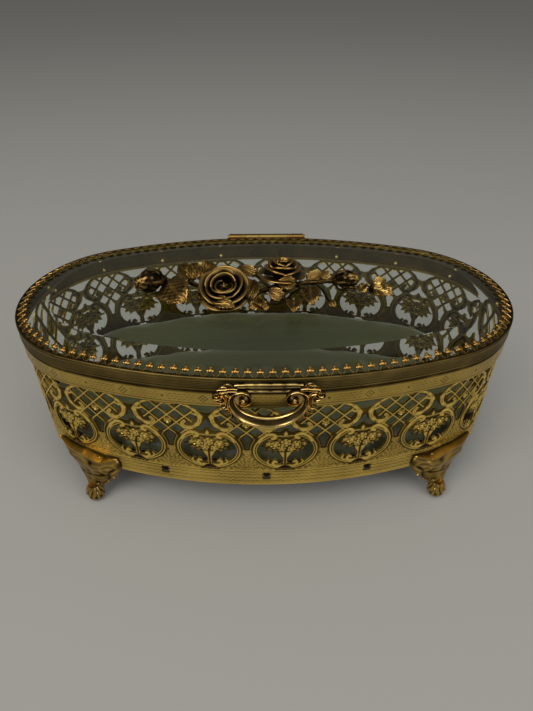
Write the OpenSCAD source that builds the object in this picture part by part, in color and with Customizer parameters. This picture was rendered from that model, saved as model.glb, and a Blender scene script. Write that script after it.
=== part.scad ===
// Oval pierced-brass keepsake casket: bevelled glass lid with a cast rose spray, padded floor, four feet.
// X runs along the length, -Y is the front with the pull, Z is up and 0 is the floor under the feet.

/* [Oval plan] */
// Length of the lid rim, left to right
rim_length = 240; // [200:1:280]
// Depth of the lid rim, front to back
rim_depth = 130; // [110:1:155]
// Radius of the round ends as a share of half the depth
end_share = 0.815; // [0.72:0.005:0.88]

/* [Heights] */
// Clear height under the wall, which the feet make up
foot_height = 21; // [17:0.5:25]
// Height of the plain lower band of the wall
plain_band = 10; // [9:0.5:12]
// Height of the pierced part of the wall
pierced_height = 41; // [34:0.5:49]
// Height of the engraved hoop around the top of the wall
hoop_height = 8.5; // [7:0.5:10.5]
// Height of the lid's ridged band
lid_band = 6.4; // [6:0.2:8]

/* [Sheet and glass] */
// Thickness of the stamped wall
wall_t = 1; // [0.8:0.1:1.4]
// Thickness of the hoop
hoop_t = 0.9; // [0.7:0.1:1.1]
// Thickness of the lid's band
band_t = 1.1; // [0.9:0.1:1.4]
// Thickness of the glass where it is flat
glass_t = 5.7; // [4.5:0.1:7]
// Thickness of the glass at its edge
glass_edge = 2.2; // [1.8:0.1:2.6]
// Width of the bevel cut around the glass
bevel_w = 14.5; // [10:0.5:18]

/* [Wall pattern] */
// Repeats of the urn and lattice along the front, and along the back
long_repeats = 5; // [4:1:6]
// Repeats of the urn and lattice around each end
end_repeats = 4; // [3:1:5]
// Distance of the nearest urn from the middle of the front
urn_shift = 8.5; // [6:0.5:10]

/* [Gallery] */
// Number of pointed prongs around the glass
prong_count = 118; // [96:2:130]
// Length of a prong
prong_len = 5.4; // [4.4:0.1:6.2]

/* [Hinge and pull] */
// Distance of the hinge and of the pull to the right of the middle
fitting_x = 1.5; // [0:0.5:3]
// Length of the hinge barrel
barrel_len = 44; // [37:1:52]
// Radius of the hinge barrel
barrel_r = 2.2; // [2:0.1:2.6]
// Radius of the hinge pin
pin_r = 0.9; // [0.8:0.05:1.1]
// Clearance between the pin and the knuckles
pin_gap = 0.05; // [0.03:0.01:0.08]
// Centreline radius of the bow of the pull
bow_r = 14.2; // [12:0.2:16]
// Radius of the stock of the bow
bow_stock = 1.8; // [1.5:0.1:2.1]

/* [Cushion] */
// Height of the satin cushion at its crown
pad_crown = 14; // [10:0.5:17]

/* [Hidden] */
$fn = 64;
eps = 0.01;
a = rim_length / 2;
b = rim_depth / 2;
r_end = b * end_share;
r_side = (a * a + b * b - 2 * a * r_end) / (2 * (b - r_end));
phi = atan2(r_side - b, a - r_end);
side_len = r_side * (180 - 2 * phi) * PI / 180;
end_len = r_end * 2 * phi * PI / 180;

z_wall = foot_height;
z_pierced = z_wall + plain_band;
z_hoop = z_pierced + pierced_height;
z_hoop_top = z_hoop + hoop_height;
lid_gap = 0.3;
z_lid = z_hoop_top + lid_gap;
z_rim = z_lid + lid_band;
hoop_off = -0.3;
wall_off = hoop_off - hoop_t;
wall_in = wall_off - wall_t;

glass_gap = 0.4;
glass_off = -band_t - glass_gap;
z_glass = z_rim - 0.4 - glass_edge;
z_glass_top = z_glass + glass_t;
ledge_w = 3.4;
ledge_t = 1;

long_pitch = side_len / long_repeats;
end_pitch = end_len / end_repeats;
pattern_w = 34.5;
first_urn = urn_shift / long_pitch;
seam_share = first_urn + ceil((side_len / 2 - urn_shift) / long_pitch - 1) - long_repeats / 2;
end_first = end_pitch * (1 + seam_share);

knuckle_end = 8.6;
knuckle_gap = 0.15;
axis_y = b + barrel_r + 0.15;
axis_z = z_rim - 0.6;
leaf_t = 0.9;

pull_y = -(b + 3.3);
pull_z = z_rim - 6.9;

y_front = -pull_y + bow_stock;
y_rear = axis_y + barrel_r + 0.5;
y_mid = (y_front - y_rear) / 2;

plate_z = z_wall + 5.5;
plate_t = 1;
board_t = 1.5;
pad_z = plate_z + plate_t + board_t;
lug_w = 2;
lug_spread = 48.7;

foot_x = (a - r_end) + (r_end + wall_off) * cos(phi);
foot_y = (r_end + wall_off) * sin(phi);
toe_r = 4.2;
toe_out = 5.4;
toe_flat = 0.25;
rivet_r = 0.8;
rivet_gap = 0.08;
rivet_z = 1.3;
z_foot_rivet = z_wall + 3.2;

stud_r = 1.5;
stud_a = [-18.5, -7.5];
stud_b = [9.2, 7];
stem_z = z_glass_top + 2;

// Shared forms of the oval

module centred() {
  translate([0, y_mid, 0]) children();
}

module end_arc(side) {
  translate([side * (a - r_end), 0, 0])
    rotate([0, 0, side > 0 ? -phi : 180 - phi])
      rotate_extrude(angle = 2 * phi)
        translate([r_end, 0])
          children();
}

module side_arc(side) {
  translate([0, -side * (r_side - b), 0])
    rotate([0, 0, side > 0 ? phi : 180 + phi])
      rotate_extrude(angle = 180 - 2 * phi, $fn = 300)
        translate([r_side, 0])
          children();
}

module oval_ring(outline) {
  for (side = [-1, 1]) {
    end_arc(side) polygon(outline);
    side_arc(side) polygon(outline);
  }
}

module oval_plate(off, low, high) {
  translate([0, 0, low])
    linear_extrude(height = high - low)
      polygon([for (turn = [0:1.5:358.5]) oval_point(turn, off)]);
}

module oval_stack(rings) {
  around = 120;
  n = len(rings);
  points = [
    for (ring = rings, j = [0:around - 1])
      let (p = oval_point(j * 360 / around, ring[0]))
      [p[0], p[1], ring[1]]
  ];
  sides = [
    for (i = [0:n - 2], j = [0:around - 1])
      let (p = i * around + j, q = i * around + (j + 1) % around)
      each [[p, p + around, q], [q, p + around, q + around]]
  ];
  polyhedron(
    points = points,
    faces = concat([[for (j = [0:around - 1]) j]], sides, [[for (j = [around - 1:-1:0]) (n - 1) * around + j]]),
    convexity = 4
  );
}

module oval_cut(off, low, high) {
  oval_ring([[off - 26, low], [off, low], [off, high], [off - 26, high]]);
}

function oval_point(turn, off) =
  let (n = [cos(turn), sin(turn)])
  abs(n[0]) >= cos(phi)
    ? [sign(n[0]) * (a - r_end), 0] + (r_end + off) * n
    : [0, -sign(n[1]) * (r_side - b)] + (r_side + off) * n;

module on_side(s) {
  translate([0, r_side - b, 0])
    rotate([0, 0, s / r_side * 180 / PI])
      translate([0, -r_side, 0])
        children();
}

module on_end(s) {
  translate([a - r_end, 0, 0])
    rotate([0, 0, s / r_end * 180 / PI - phi])
      translate([r_end, 0, 0])
        rotate([0, 0, 90])
          children();
}

module through_wall() {
  translate([0, 7, 0])
    rotate([90, 0, 0])
      linear_extrude(height = 11)
        children();
}

module rod(p, q, r) {
  d = q - p;
  translate(p)
    rotate([0, acos(d[2] / norm(d)), atan2(d[1], d[0])])
      cylinder(h = norm(d), r = r);
}

// Pierced wall

module urn_openings(k) {
  h = pierced_height / 41;
  translate([0, z_pierced]) {
    for (m = [-1, 1]) {
      polygon([
        [m * 12.6 * k, 15 * h], [m * 10.4 * k, 12.8 * h], [m * 5 * k, 12.2 * h], [m * 2.2 * k, 8 * h],
        [m * 3.4 * k, 5.2 * h], [m * 7.4 * k, 4.6 * h], [m * 10.6 * k, 7.6 * h], [m * 12.8 * k, 11.6 * h]
      ]);
      translate([m * 9.2 * k, 20 * h]) circle(r = 1.7 * k);
    }
    polygon([[-3.4 * k, 0.4], [3.4 * k, 0.4], [1.8 * k, 2.8 * h], [-1.8 * k, 2.8 * h]]);
    polygon([[-4.6 * k, 25.8 * h], [0, 24.6 * h], [4.6 * k, 25.8 * h], [1 * k, 30.8 * h], [-1 * k, 30.8 * h]]);
    polygon([
      [-9.4 * k, 40.6 * h], [-3.2 * k, 36.4 * h], [0, 35.6 * h], [3.2 * k, 36.4 * h], [9.4 * k, 40.6 * h]
    ]);
  }
}

module lattice_openings(k) {
  h = pierced_height / 41;
  translate([0, z_pierced]) {
    for (p = [[-4, 25.4], [4, 25.4], [-8.4, 32.6], [8.4, 32.6], [-4, 35.4], [4, 35.4]])
      translate([p[0] * k, p[1] * h]) rotate(45) square(3.4 * k, center = true);
    polygon([[-2.3 * k, 19.6 * h], [-0.9 * k, 14.4 * h], [0.9 * k, 14.4 * h], [2.3 * k, 19.6 * h], [0, 22.8 * h]]);
  }
}

module lug_hole() {
  translate([-lug_w / 2 - 0.2, plate_z - 1.4]) square([lug_w + 0.4, 3.8]);
}

module rivet_hole_2d(z, r) {
  translate([0, z]) circle(r = r);
}

module long_wall() {
  k = long_pitch / pattern_w;
  difference() {
    side_arc(-1) polygon([[wall_in, z_wall], [wall_off, z_wall], [wall_off, z_hoop_top - 1], [wall_in, z_hoop_top - 1]]);
    for (i = [-long_repeats:long_repeats]) {
      s = urn_shift + i * long_pitch;
      c = s - long_pitch / 2;
      if (abs(s) + 14 * k < side_len / 2)
        on_side(s) through_wall() urn_openings(k);
      if (abs(c) + 11 * k < side_len / 2)
        on_side(c) through_wall() lattice_openings(k);
    }
    for (s = [-lug_spread, 0, lug_spread])
      on_side(s) through_wall() lug_hole();
    for (m = [-1, 1])
      on_side(m * (side_len / 2 - 4.5)) through_wall() rivet_hole_2d(z_foot_rivet, rivet_r + rivet_gap);
  }
}

module end_wall() {
  k = end_pitch / pattern_w;
  difference() {
    end_arc(1) polygon([[wall_in, z_wall], [wall_off, z_wall], [wall_off, z_hoop_top - 1], [wall_in, z_hoop_top - 1]]);
    for (i = [-1:end_repeats]) {
      s = end_first + i * end_pitch;
      c = s - end_pitch / 2;
      if (s > 14 * k && s < end_len - 14 * k)
        on_end(s) through_wall() urn_openings(k);
      if (c > 11 * k && c < end_len - 11 * k)
        on_end(c) through_wall() lattice_openings(k);
    }
    for (m = [-1, 1]) {
      on_end(end_len / 2 + m * 22) through_wall() lug_hole();
      on_end(end_len / 2 + m * (end_len / 2 - 4.5)) through_wall() rivet_hole_2d(z_foot_rivet, rivet_r + rivet_gap);
    }
  }
}

module wall_front() {
  color("goldenrod") centred() long_wall();
}

module wall_back() {
  color("goldenrod") centred() difference() {
    rotate([0, 0, 180]) long_wall();
    for (m = [-1, 1])
      translate([fitting_x + m * 8, b + 4, z_hoop + 3]) rotate([90, 0, 0]) cylinder(h = 12, r = rivet_r + rivet_gap);
  }
}

module wall_right() {
  color("goldenrod") centred() end_wall();
}

module wall_left() {
  color("goldenrod") centred() rotate([0, 0, 180]) end_wall();
}

module top_hoop() {
  g = 0.2;
  color("goldenrod") centred() difference() {
    oval_ring([
      [hoop_off - hoop_t, z_hoop], [hoop_off, z_hoop], [hoop_off, z_hoop + 0.7], [hoop_off - g, z_hoop + 0.9],
      [hoop_off - g, z_hoop_top - 0.9], [hoop_off, z_hoop_top - 0.7], [hoop_off, z_hoop_top],
      [hoop_off - hoop_t, z_hoop_top]
    ]);
    for (m = [-1, 1])
      translate([fitting_x + m * 8, b + 4, z_hoop + 3]) rotate([90, 0, 0]) cylinder(h = 12, r = rivet_r + rivet_gap);
  }
}

// Floor of the box

module base_plate() {
  color("peru") centred() {
    oval_plate(wall_in - 0.3, plate_z, plate_z + plate_t);
    for (turn = [0, 180]) rotate([0, 0, turn]) {
      for (s = [-lug_spread, 0, lug_spread])
        on_side(s) translate([-lug_w / 2, -wall_off + 0.1, plate_z + 0.1]) cube([lug_w, 3, plate_t - 0.2]);
      for (m = [-1, 1])
        on_end(end_len / 2 + m * 22) translate([-lug_w / 2, -wall_off + 0.1, plate_z + 0.1]) cube([lug_w, 3, plate_t - 0.2]);
    }
  }
}

module pad_board() {
  color("tan") centred()
    oval_plate(wall_in - 1, plate_z + plate_t, plate_z + plate_t + board_t);
}

module base_pad() {
  color("darkseagreen") centred() translate([0, 0, pad_z]) oval_stack([
    [wall_in - 4.2, 0], [wall_in - 1.6, 0.8], [wall_in - 0.7, 0.24 * pad_crown], [wall_in - 0.9, 0.42 * pad_crown],
    [wall_in - 2, 0.6 * pad_crown], [wall_in - 4.6, 0.74 * pad_crown], [wall_in - 9, 0.83 * pad_crown],
    [wall_in - 17, 0.92 * pad_crown], [wall_in - 28, 0.97 * pad_crown], [wall_in - 42, pad_crown]
  ]);
}

// Feet

module foot_body() {
  scroll = [
    [-3, 9.5], [1.2, 5.6], [toe_out + 2.6, 5.4], [toe_out + 1.4, 9.4], [3.6, 14.6], [3.8, 19], [5, 24],
    [3.6, 29], [1.4, 31.4], [-3, 31.4]
  ];
  difference() {
    union() {
      intersection() {
        rotate([90, 0, 0]) translate([0, 0, -9]) linear_extrude(height = 18) polygon(scroll);
        translate([0, 0, 19.4]) rotate([0, 90, 0]) translate([0, 0, -6]) cylinder(h = 20, r = 12.4);
      }
      rotate([90, 0, 0]) translate([0, 0, -3.2]) linear_extrude(height = 6.4) polygon(scroll);
      translate([toe_out, 0, toe_r - toe_flat]) sphere(r = toe_r);
      for (m = [-1, 1]) translate([2.2, m * 6.4, 28]) sphere(r = 2.6);
      translate([3.2, 0, 25.4]) sphere(r = 4.2);
    }
    translate([toe_out - 3, -3, -3]) cube([6, 6, 3]);
  }
}

module foot(mx, my) {
  away = mx > 0 ? (my > 0 ? phi : -phi) : (my > 0 ? 180 - phi : 180 + phi);
  bend = 4.5 / r_end * 180 / PI;
  color("darkgoldenrod") centred() difference() {
    translate([mx * foot_x, my * foot_y, 0]) rotate([0, 0, away]) foot_body();
    oval_cut(wall_off, z_wall - 12, z_wall + 30);
    rotate([0, 0, my > 0 ? 180 : 0]) on_side(mx * -sign(my) * (side_len / 2 - 4.5))
      translate([0, 4, z_foot_rivet]) rotate([90, 0, 0]) cylinder(h = 30, r = rivet_r + rivet_gap);
    rotate([0, 0, mx > 0 ? 0 : 180]) on_end(end_len / 2 + mx * my * (end_len / 2 - 4.5))
      translate([0, 4, z_foot_rivet]) rotate([90, 0, 0]) cylinder(h = 30, r = rivet_r + rivet_gap);
  }
}

module foot_front_left() {
  foot(-1, -1);
}

module foot_front_right() {
  foot(1, -1);
}

module foot_back_left() {
  foot(-1, 1);
}

module foot_back_right() {
  foot(1, 1);
}

module foot_rivet() {
  translate([0, -wall_in + 0.1, z_foot_rivet]) rotate([-90, 0, 0]) cylinder(h = 0.7, r = 1.8);
  translate([0, -wall_in + 0.1 + eps, z_foot_rivet]) rotate([90, 0, 0]) cylinder(h = wall_t + 3, r = rivet_r);
}

module foot_rivets() {
  color("goldenrod") centred() for (turn = [0, 180], m = [-1, 1]) rotate([0, 0, turn]) {
    on_side(m * (side_len / 2 - 4.5)) foot_rivet();
    on_end(end_len / 2 + m * (end_len / 2 - 4.5)) foot_rivet();
  }
}

// Hinge

module knuckle(x, w) {
  translate([x, axis_y, axis_z]) rotate([0, 90, 0]) cylinder(h = w, r = barrel_r);
}

module pin_bore() {
  translate([fitting_x - barrel_len, axis_y, axis_z]) rotate([0, 90, 0]) cylinder(h = 2 * barrel_len, r = pin_r + pin_gap);
}

module hinge_body_leaf() {
  w = barrel_len - 2 * knuckle_end - 2 * knuckle_gap;
  x = fitting_x - w / 2;
  leaf_y = axis_y + barrel_r - leaf_t;
  color("darkgoldenrod") centred() difference() {
    union() {
      knuckle(x, w);
      translate([x, leaf_y, z_hoop + 0.4]) cube([w, leaf_t, axis_z - z_hoop - 0.4]);
      translate([x, b - 3, z_hoop + 0.4]) cube([w, leaf_y - b + 3 + eps, hoop_height - 1]);
    }
    pin_bore();
    oval_cut(hoop_off, z_hoop - 2, z_hoop_top + 0.2);
    for (m = [-1, 1])
      translate([fitting_x + m * 8, b + 12, z_hoop + 3]) rotate([90, 0, 0]) cylinder(h = 14, r = rivet_r + rivet_gap);
  }
}

module hinge_lid_leaf() {
  color("darkgoldenrod") centred() difference() {
    union() {
      for (m = [-1, 1]) {
        x = fitting_x + m * (barrel_len / 2 - knuckle_end / 2) - knuckle_end / 2;
        knuckle(x, knuckle_end);
        translate([x, b - 3, z_lid + 0.4]) cube([knuckle_end, 3 + leaf_t, axis_z - z_lid - 0.4]);
      }
      translate([fitting_x - barrel_len / 2, b - 3, z_lid + 0.4]) cube([barrel_len, 3 + leaf_t, 2.8]);
    }
    pin_bore();
    oval_cut(0, z_lid - 2, z_rim + 8);
    for (m = [-1, 1])
      translate([fitting_x + m * 17, b + 8, z_lid + rivet_z]) rotate([90, 0, 0]) cylinder(h = 14, r = rivet_r + rivet_gap);
  }
}

module hinge_pin() {
  color("khaki") centred()
    translate([fitting_x - barrel_len / 2 - 0.5, axis_y, axis_z]) rotate([0, 90, 0]) {
      cylinder(h = barrel_len + 1, r = pin_r);
      translate([0, 0, -0.6]) cylinder(h = 0.8, r = pin_r + 0.6);
      translate([0, 0, barrel_len + 0.8]) cylinder(h = 0.8, r = pin_r + 0.6);
    }
}

module flat_rivet(y_in, y_out, z, head) {
  rotate([90, 0, 0]) translate([0, z, -y_out]) {
    cylinder(h = y_out - y_in, r = rivet_r);
    cylinder(h = 0.5, r = head);
    translate([0, 0, y_out - y_in - 0.5]) cylinder(h = 0.5, r = head);
  }
}

module hinge_body_rivets() {
  color("goldenrod") centred() for (m = [-1, 1])
    translate([fitting_x + m * 8, 0, 0])
      flat_rivet(b + wall_off - 1.9, axis_y + barrel_r + 0.5, z_hoop + 3, 1.5);
}

module hinge_lid_rivets() {
  color("goldenrod") centred() for (m = [-1, 1])
    translate([fitting_x + m * 17, 0, 0])
      flat_rivet(b - band_t - 1.3, b + leaf_t + 0.5, z_lid + rivet_z, 1.1);
}

// Lid

module lid_rim() {
  g = 0.25;
  step = lid_band / 5;
  color("sienna") centred() difference() {
    oval_ring(concat(
      [[-band_t, z_lid], [0, z_lid]],
      [for (i = [2:4]) each [[0, z_lid + (i + 0.2) * step - 0.4], [-g, z_lid + (i + 0.2) * step], [0, z_lid + (i + 0.2) * step + 0.4]]],
      [
        [0, z_rim], [-band_t, z_rim], [-band_t, z_glass], [-band_t - ledge_w, z_glass],
        [-band_t - ledge_w, z_glass - ledge_t], [-band_t, z_glass - ledge_t]
      ]
    ));
    for (m = [-1, 1]) {
      translate([fitting_x + m * 17, b + 4, z_lid + rivet_z]) rotate([90, 0, 0]) cylinder(h = 10, r = rivet_r + rivet_gap);
      translate([fitting_x + m * 12, -b + 6, z_lid + rivet_z]) rotate([90, 0, 0]) cylinder(h = 10, r = rivet_r + rivet_gap);
    }
  }
}

module prong() {
  w = 1.95;
  translate([0, 0.9, z_rim + 0.2]) rotate([14, 0, 0]) linear_extrude(height = 0.7)
    polygon(
      points = [
        [-w, 0], [w, 0], [0.95, prong_len - 1.7], [1, prong_len - 0.9], [0.4, prong_len - 0.3], [0, prong_len],
        [-0.4, prong_len - 0.3], [-1, prong_len - 0.9], [-0.95, prong_len - 1.7],
        [-0.95, 0.8], [0.95, 0.8], [0, prong_len - 2]
      ],
      paths = [[0, 1, 2, 3, 4, 5, 6, 7, 8], [9, 10, 11]]
    );
}

module lid_gallery() {
  side_n = round(prong_count * side_len / (2 * (side_len + end_len)));
  end_n = prong_count / 2 - side_n;
  color("gold") centred() {
    oval_ring([[-1.6, z_rim], [-0.2, z_rim], [-0.2, z_rim + 0.5], [-1.2, z_rim + 1], [-1.6, z_rim + 1]]);
    for (turn = [0, 180]) rotate([0, 0, turn]) {
      for (i = [0:side_n - 1])
        on_side(((i + 0.5) / side_n - 0.5) * side_len) prong();
      for (i = [0:end_n - 1])
        on_end((i + 0.5) / end_n * end_len) prong();
    }
  }
}

module lid_glass() {
  color([0.8, 0.9, 0.85, 0.35]) centred() difference() {
    oval_stack([[glass_off, z_glass], [glass_off, z_glass + glass_edge], [glass_off - bevel_w, z_glass_top]]);
    for (p = [stud_a, stud_b])
      translate([p[0], p[1], z_glass - 1]) cylinder(h = glass_t + 2, r = stud_r + 0.4);
  }
}

// Pull on the front of the lid

module pull_form() {
  for (m = [-1, 1]) {
    translate([m * 10, pull_y, pull_z]) rotate([90, 0, 0]) {
      rotate_extrude() translate([bow_r - 10.6, 0]) circle(r = 1.5);
      cylinder(h = 2.4, r = 1.7, center = true);
      cylinder(h = 1, r = 3.2, center = true);
    }
    translate([m * 19.3, pull_y + 0.8, pull_z + 1.4]) rotate([90, 0, 0])
      rotate_extrude() translate([2, 0]) circle(r = 0.9);
    rod([m * 15, pull_y + 0.4, pull_z + 3], [m * 19.3, pull_y + 0.8, pull_z + 3.4], 1.1);
    rod([m * 14.6, pull_y + 0.4, pull_z - 2], [m * 19.6, pull_y + 1, pull_z - 4.6], 1.1);
    rod([m * 13.4, pull_y + 0.4, pull_z - 4], [m * 17.4, pull_y + 1, pull_z - 8.4], 1.1);
    translate([m * 19.6, pull_y + 1, pull_z - 4.6]) sphere(r = 1.3);
    translate([m * 17.4, pull_y + 1, pull_z - 8.4]) sphere(r = 1.3);
  }
  translate([0, pull_y, pull_z]) rotate([90, 0, 0]) rotate([0, 0, 165])
    rotate_extrude(angle = 210) translate([bow_r, 0]) circle(r = bow_stock);
  rod([-14, pull_y + 0.8, pull_z + 4.6], [14, pull_y + 0.8, pull_z + 4.6], 1.7);
  translate([-19, pull_y + 1.2, z_lid + 0.3]) cube([38, 5, lid_band - 0.6]);
}

module front_pull() {
  color("darkgoldenrod") centred() difference() {
    translate([fitting_x, 0, 0]) pull_form();
    oval_cut(0, z_lid - 4, z_rim + 4);
    for (m = [-1, 1])
      translate([fitting_x + m * 12, -b + 2, z_lid + rivet_z]) rotate([90, 0, 0]) cylinder(h = 4, r = rivet_r + rivet_gap);
  }
}

module pull_rivets() {
  color("goldenrod") centred() for (m = [-1, 1])
    translate([fitting_x + m * 12, 0, z_lid + rivet_z]) {
      translate([0, -b - 1.5, 0]) rotate([-90, 0, 0]) cylinder(h = 2.6 + band_t, r = rivet_r);
      translate([0, -b + band_t + 0.5, 0]) rotate([-90, 0, 0]) cylinder(h = 0.7, r = 1.1);
    }
}

// Cast spray on the glass

stem_points = [
  [-50, 1, 2.2], [-36, -2, 0.9], [-18.5, -7.5, 0], [-4, -3, 0], [9.2, 1, 0], [22, 1, 0.4],
  [34, 0, 1], [46, -6, 1], [54, -9.5, 1.6]
];

function on_glass(p) = [p[0], p[1], stem_z + p[2]];

module stems() {
  for (i = [0:len(stem_points) - 2]) {
    rod(on_glass(stem_points[i]), on_glass(stem_points[i + 1]), 1.1);
    translate(on_glass(stem_points[i + 1])) sphere(r = 1.4);
  }
  rod(on_glass([9.2, 1, 0]), on_glass([9.2, 7, 0]), 1.1);
  rod(on_glass([34, 0, 1]), on_glass([38, 1.6, 2.6]), 0.9);
  for (p = [stud_a, stud_b])
    translate([p[0], p[1], z_glass_top]) cylinder(h = 3.6, r = 3.4);
}

module spray_branch() {
  color("darkgoldenrod") centred() {
    stems();
    for (p = [stud_a, stud_b])
      translate([p[0], p[1], z_glass - 3.6]) cylinder(h = glass_t + 3.6 + eps, r = stud_r);
  }
}

module petal_ring(count, radius, tilt, disc, lift, start) {
  for (i = [0:count - 1])
    rotate([0, 0, start + i * 360 / count])
      translate([radius, 0, lift]) rotate([0, -tilt, 0]) linear_extrude(height = 1.3) circle(r = disc, $fn = 12);
}

module large_rose() {
  color("darkgoldenrod") centred() translate([stud_a[0], stud_a[1], z_glass_top + 3.6]) {
    cylinder(h = 3.4, r1 = 3.4, r2 = 7);
    petal_ring(5, 5.8, 22, 5.4, 1.6, 0);
    petal_ring(5, 4.2, 42, 4.2, 3, 36);
    petal_ring(4, 2.4, 62, 3, 4.6, 10);
    translate([0, 0, 3]) cylinder(h = 4.4, r1 = 3.6, r2 = 2);
  }
}

module half_rose() {
  color("darkgoldenrod") centred() translate([stud_b[0], stud_b[1], z_glass_top + 3.6]) {
    cylinder(h = 6.7, r1 = 3, r2 = 5.2);
    petal_ring(5, 4.4, 63, 4.1, 5.3, 21);
    petal_ring(4, 2.3, 71, 3.2, 7.1, 3);
  }
}

module bud(length) {
  k = length / 13;
  rotate_extrude() polygon([
    [0, 0], [1.5 * k, 0], [3.1 * k, 3 * k], [3.5 * k, 6 * k], [2.8 * k, 9.4 * k], [1.1 * k, 12.4 * k], [0, 13 * k]
  ]);
  for (i = [0:3])
    rotate([0, 0, i * 90]) translate([1.6 * k, 0, 1.4 * k]) rotate([0, 24, 0]) cylinder(h = 6 * k, r1 = 1.3 * k, r2 = 0.4 * k);
}

module left_bud() {
  color("darkgoldenrod") centred() difference() {
    translate(on_glass([-49.4, 1, 2.3])) rotate([0, 0, 188]) rotate([0, 84, 0]) bud(13);
    stems();
  }
}

module right_bud() {
  color("darkgoldenrod") centred() difference() {
    translate(on_glass([37.4, 1.4, 2.4])) rotate([0, 0, 25]) rotate([0, 62, 0]) bud(10);
    stems();
  }
}

module leaf(from, heading, rise, length, width) {
  n = 9;
  half = [
    for (i = [0:n])
      [length * i / n, width / 2 * pow(max(0.01, sin(180 * (0.08 + 0.92 * i / n))), 0.7) - (i % 2 == 0 ? 0.35 : 0) + 0.4]
  ];
  translate(on_glass(from)) rotate([0, 0, heading]) rotate([0, -rise, 0]) translate([0, 0, -0.5])
    linear_extrude(height = 1)
      polygon(concat(half, [for (i = [n:-1:0]) [half[i][0], -half[i][1]]]));
}

module leaves_left() {
  color("darkgoldenrod") centred() difference() {
    union() {
      leaf([-36, -2.4, 1], 190, 6, 17, 9);
      leaf([-34, -2.8, 1], 243, 4, 18, 8.5);
      leaf([-33, -2.6, 1.4], 118, 8, 20, 9);
    }
    stems();
  }
}

module leaves_middle() {
  color("darkgoldenrod") centred() difference() {
    union() {
      leaf([-2, -2.6, 0.6], 262, 2, 17, 7);
      leaf([9.2, 1, 0.8], 283, 2, 20, 7);
      leaf([10, 1, 0.6], 310, 3, 20, 7);
      leaf([20, 1, 0.8], 60, 6, 12, 6);
    }
    stems();
  }
}

module leaves_right() {
  color("gold") centred() difference() {
    union() {
      leaf([47, -6.2, 1.4], 325, 8, 16, 7);
      leaf([46, -6, 1.2], 30, 10, 10, 6);
    }
    stems();
  }
}

module spray_washers() {
  color("khaki") centred() for (p = [stud_a, stud_b])
    translate([p[0], p[1], z_glass - 0.8]) difference() {
      cylinder(h = 0.8, r = 4.4);
      translate([0, 0, -1]) cylinder(h = 3, r = stud_r + 0.1);
    }
}

module spray_nuts() {
  color("khaki") centred() for (p = [stud_a, stud_b])
    translate([p[0], p[1], z_glass - 3]) difference() {
      cylinder(h = 2.2, r = 3.4, $fn = 6);
      translate([0, 0, -1]) cylinder(h = 5, r = stud_r + 0.03);
    }
}

wall_front();
wall_back();
wall_left();
wall_right();
top_hoop();
base_plate();
pad_board();
base_pad();
foot_front_left();
foot_front_right();
foot_back_left();
foot_back_right();
foot_rivets();
hinge_body_leaf();
hinge_pin();
hinge_body_rivets();
lid_rim();
lid_gallery();
lid_glass();
hinge_lid_leaf();
hinge_lid_rivets();
front_pull();
pull_rivets();
spray_branch();
large_rose();
half_rose();
left_bud();
right_bud();
leaves_left();
leaves_middle();
leaves_right();
spray_washers();
spray_nuts();
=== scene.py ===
import math

import bpy
import numpy as np
from mathutils import Matrix, Vector


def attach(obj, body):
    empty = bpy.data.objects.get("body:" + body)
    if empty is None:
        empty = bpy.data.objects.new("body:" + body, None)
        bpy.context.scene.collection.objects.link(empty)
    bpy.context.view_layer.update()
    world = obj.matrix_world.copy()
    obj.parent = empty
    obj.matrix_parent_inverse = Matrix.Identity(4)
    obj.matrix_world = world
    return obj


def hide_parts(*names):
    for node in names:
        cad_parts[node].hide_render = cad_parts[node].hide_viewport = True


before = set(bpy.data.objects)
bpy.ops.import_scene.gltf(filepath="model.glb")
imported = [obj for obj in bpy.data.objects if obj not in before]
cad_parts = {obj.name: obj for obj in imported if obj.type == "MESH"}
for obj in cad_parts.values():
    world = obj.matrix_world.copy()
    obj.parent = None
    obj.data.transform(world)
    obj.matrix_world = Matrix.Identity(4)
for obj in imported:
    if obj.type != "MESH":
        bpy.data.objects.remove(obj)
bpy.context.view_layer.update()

# Sizes in millimetres, as in the CAD part
A, B = 120.0, 65.0
R_END = B * 0.815
R_SIDE = (A * A + B * B - 2 * A * R_END) / (2 * (B - R_END))
PHI = math.atan2(R_SIDE - B, A - R_END)
SIDE_LEN = R_SIDE * (math.pi - 2 * PHI)
END_LEN = R_END * 2 * PHI
HALF = SIDE_LEN + END_LEN
PERIMETER = 2 * HALF
Y_MID = 0.025
Z_WALL, Z_PIERCED, Z_HOOP, Z_HOOP_TOP = 21.0, 31.0, 72.0, 80.5
WALL_OUT, WALL_IN = -1.2, -2.2
Z_GLASS = 84.6
Z_GLASS_TOP = Z_GLASS + 5.7
FIT_X = 1.5
LONG_PITCH, END_PITCH = SIDE_LEN / 5, END_LEN / 4
URN_SHIFT = 8.5
# Distance of the ends' first urn from the middle of the end, so that the pattern runs on across the seam
END_SHIFT = -END_LEN / 2 + (1 - (SIDE_LEN / 2 - URN_SHIFT) / LONG_PITCH % 1.0) * END_PITCH
STUDS = ((-18.5, -7.5), (9.2, 7.0))
FAR = 1e9


def unit(x):
    return np.clip(x, 0, 1)


def bell(x, width):
    """1 where x is 0, falling to nothing over about twice the width."""
    return np.exp(-(x / width) ** 2)


def union(fields):
    """All the shapes of these signed distances together."""
    return np.minimum.reduce(list(fields))


# Plan of the oval: distance round it from the middle of the front, positive to the right

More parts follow.
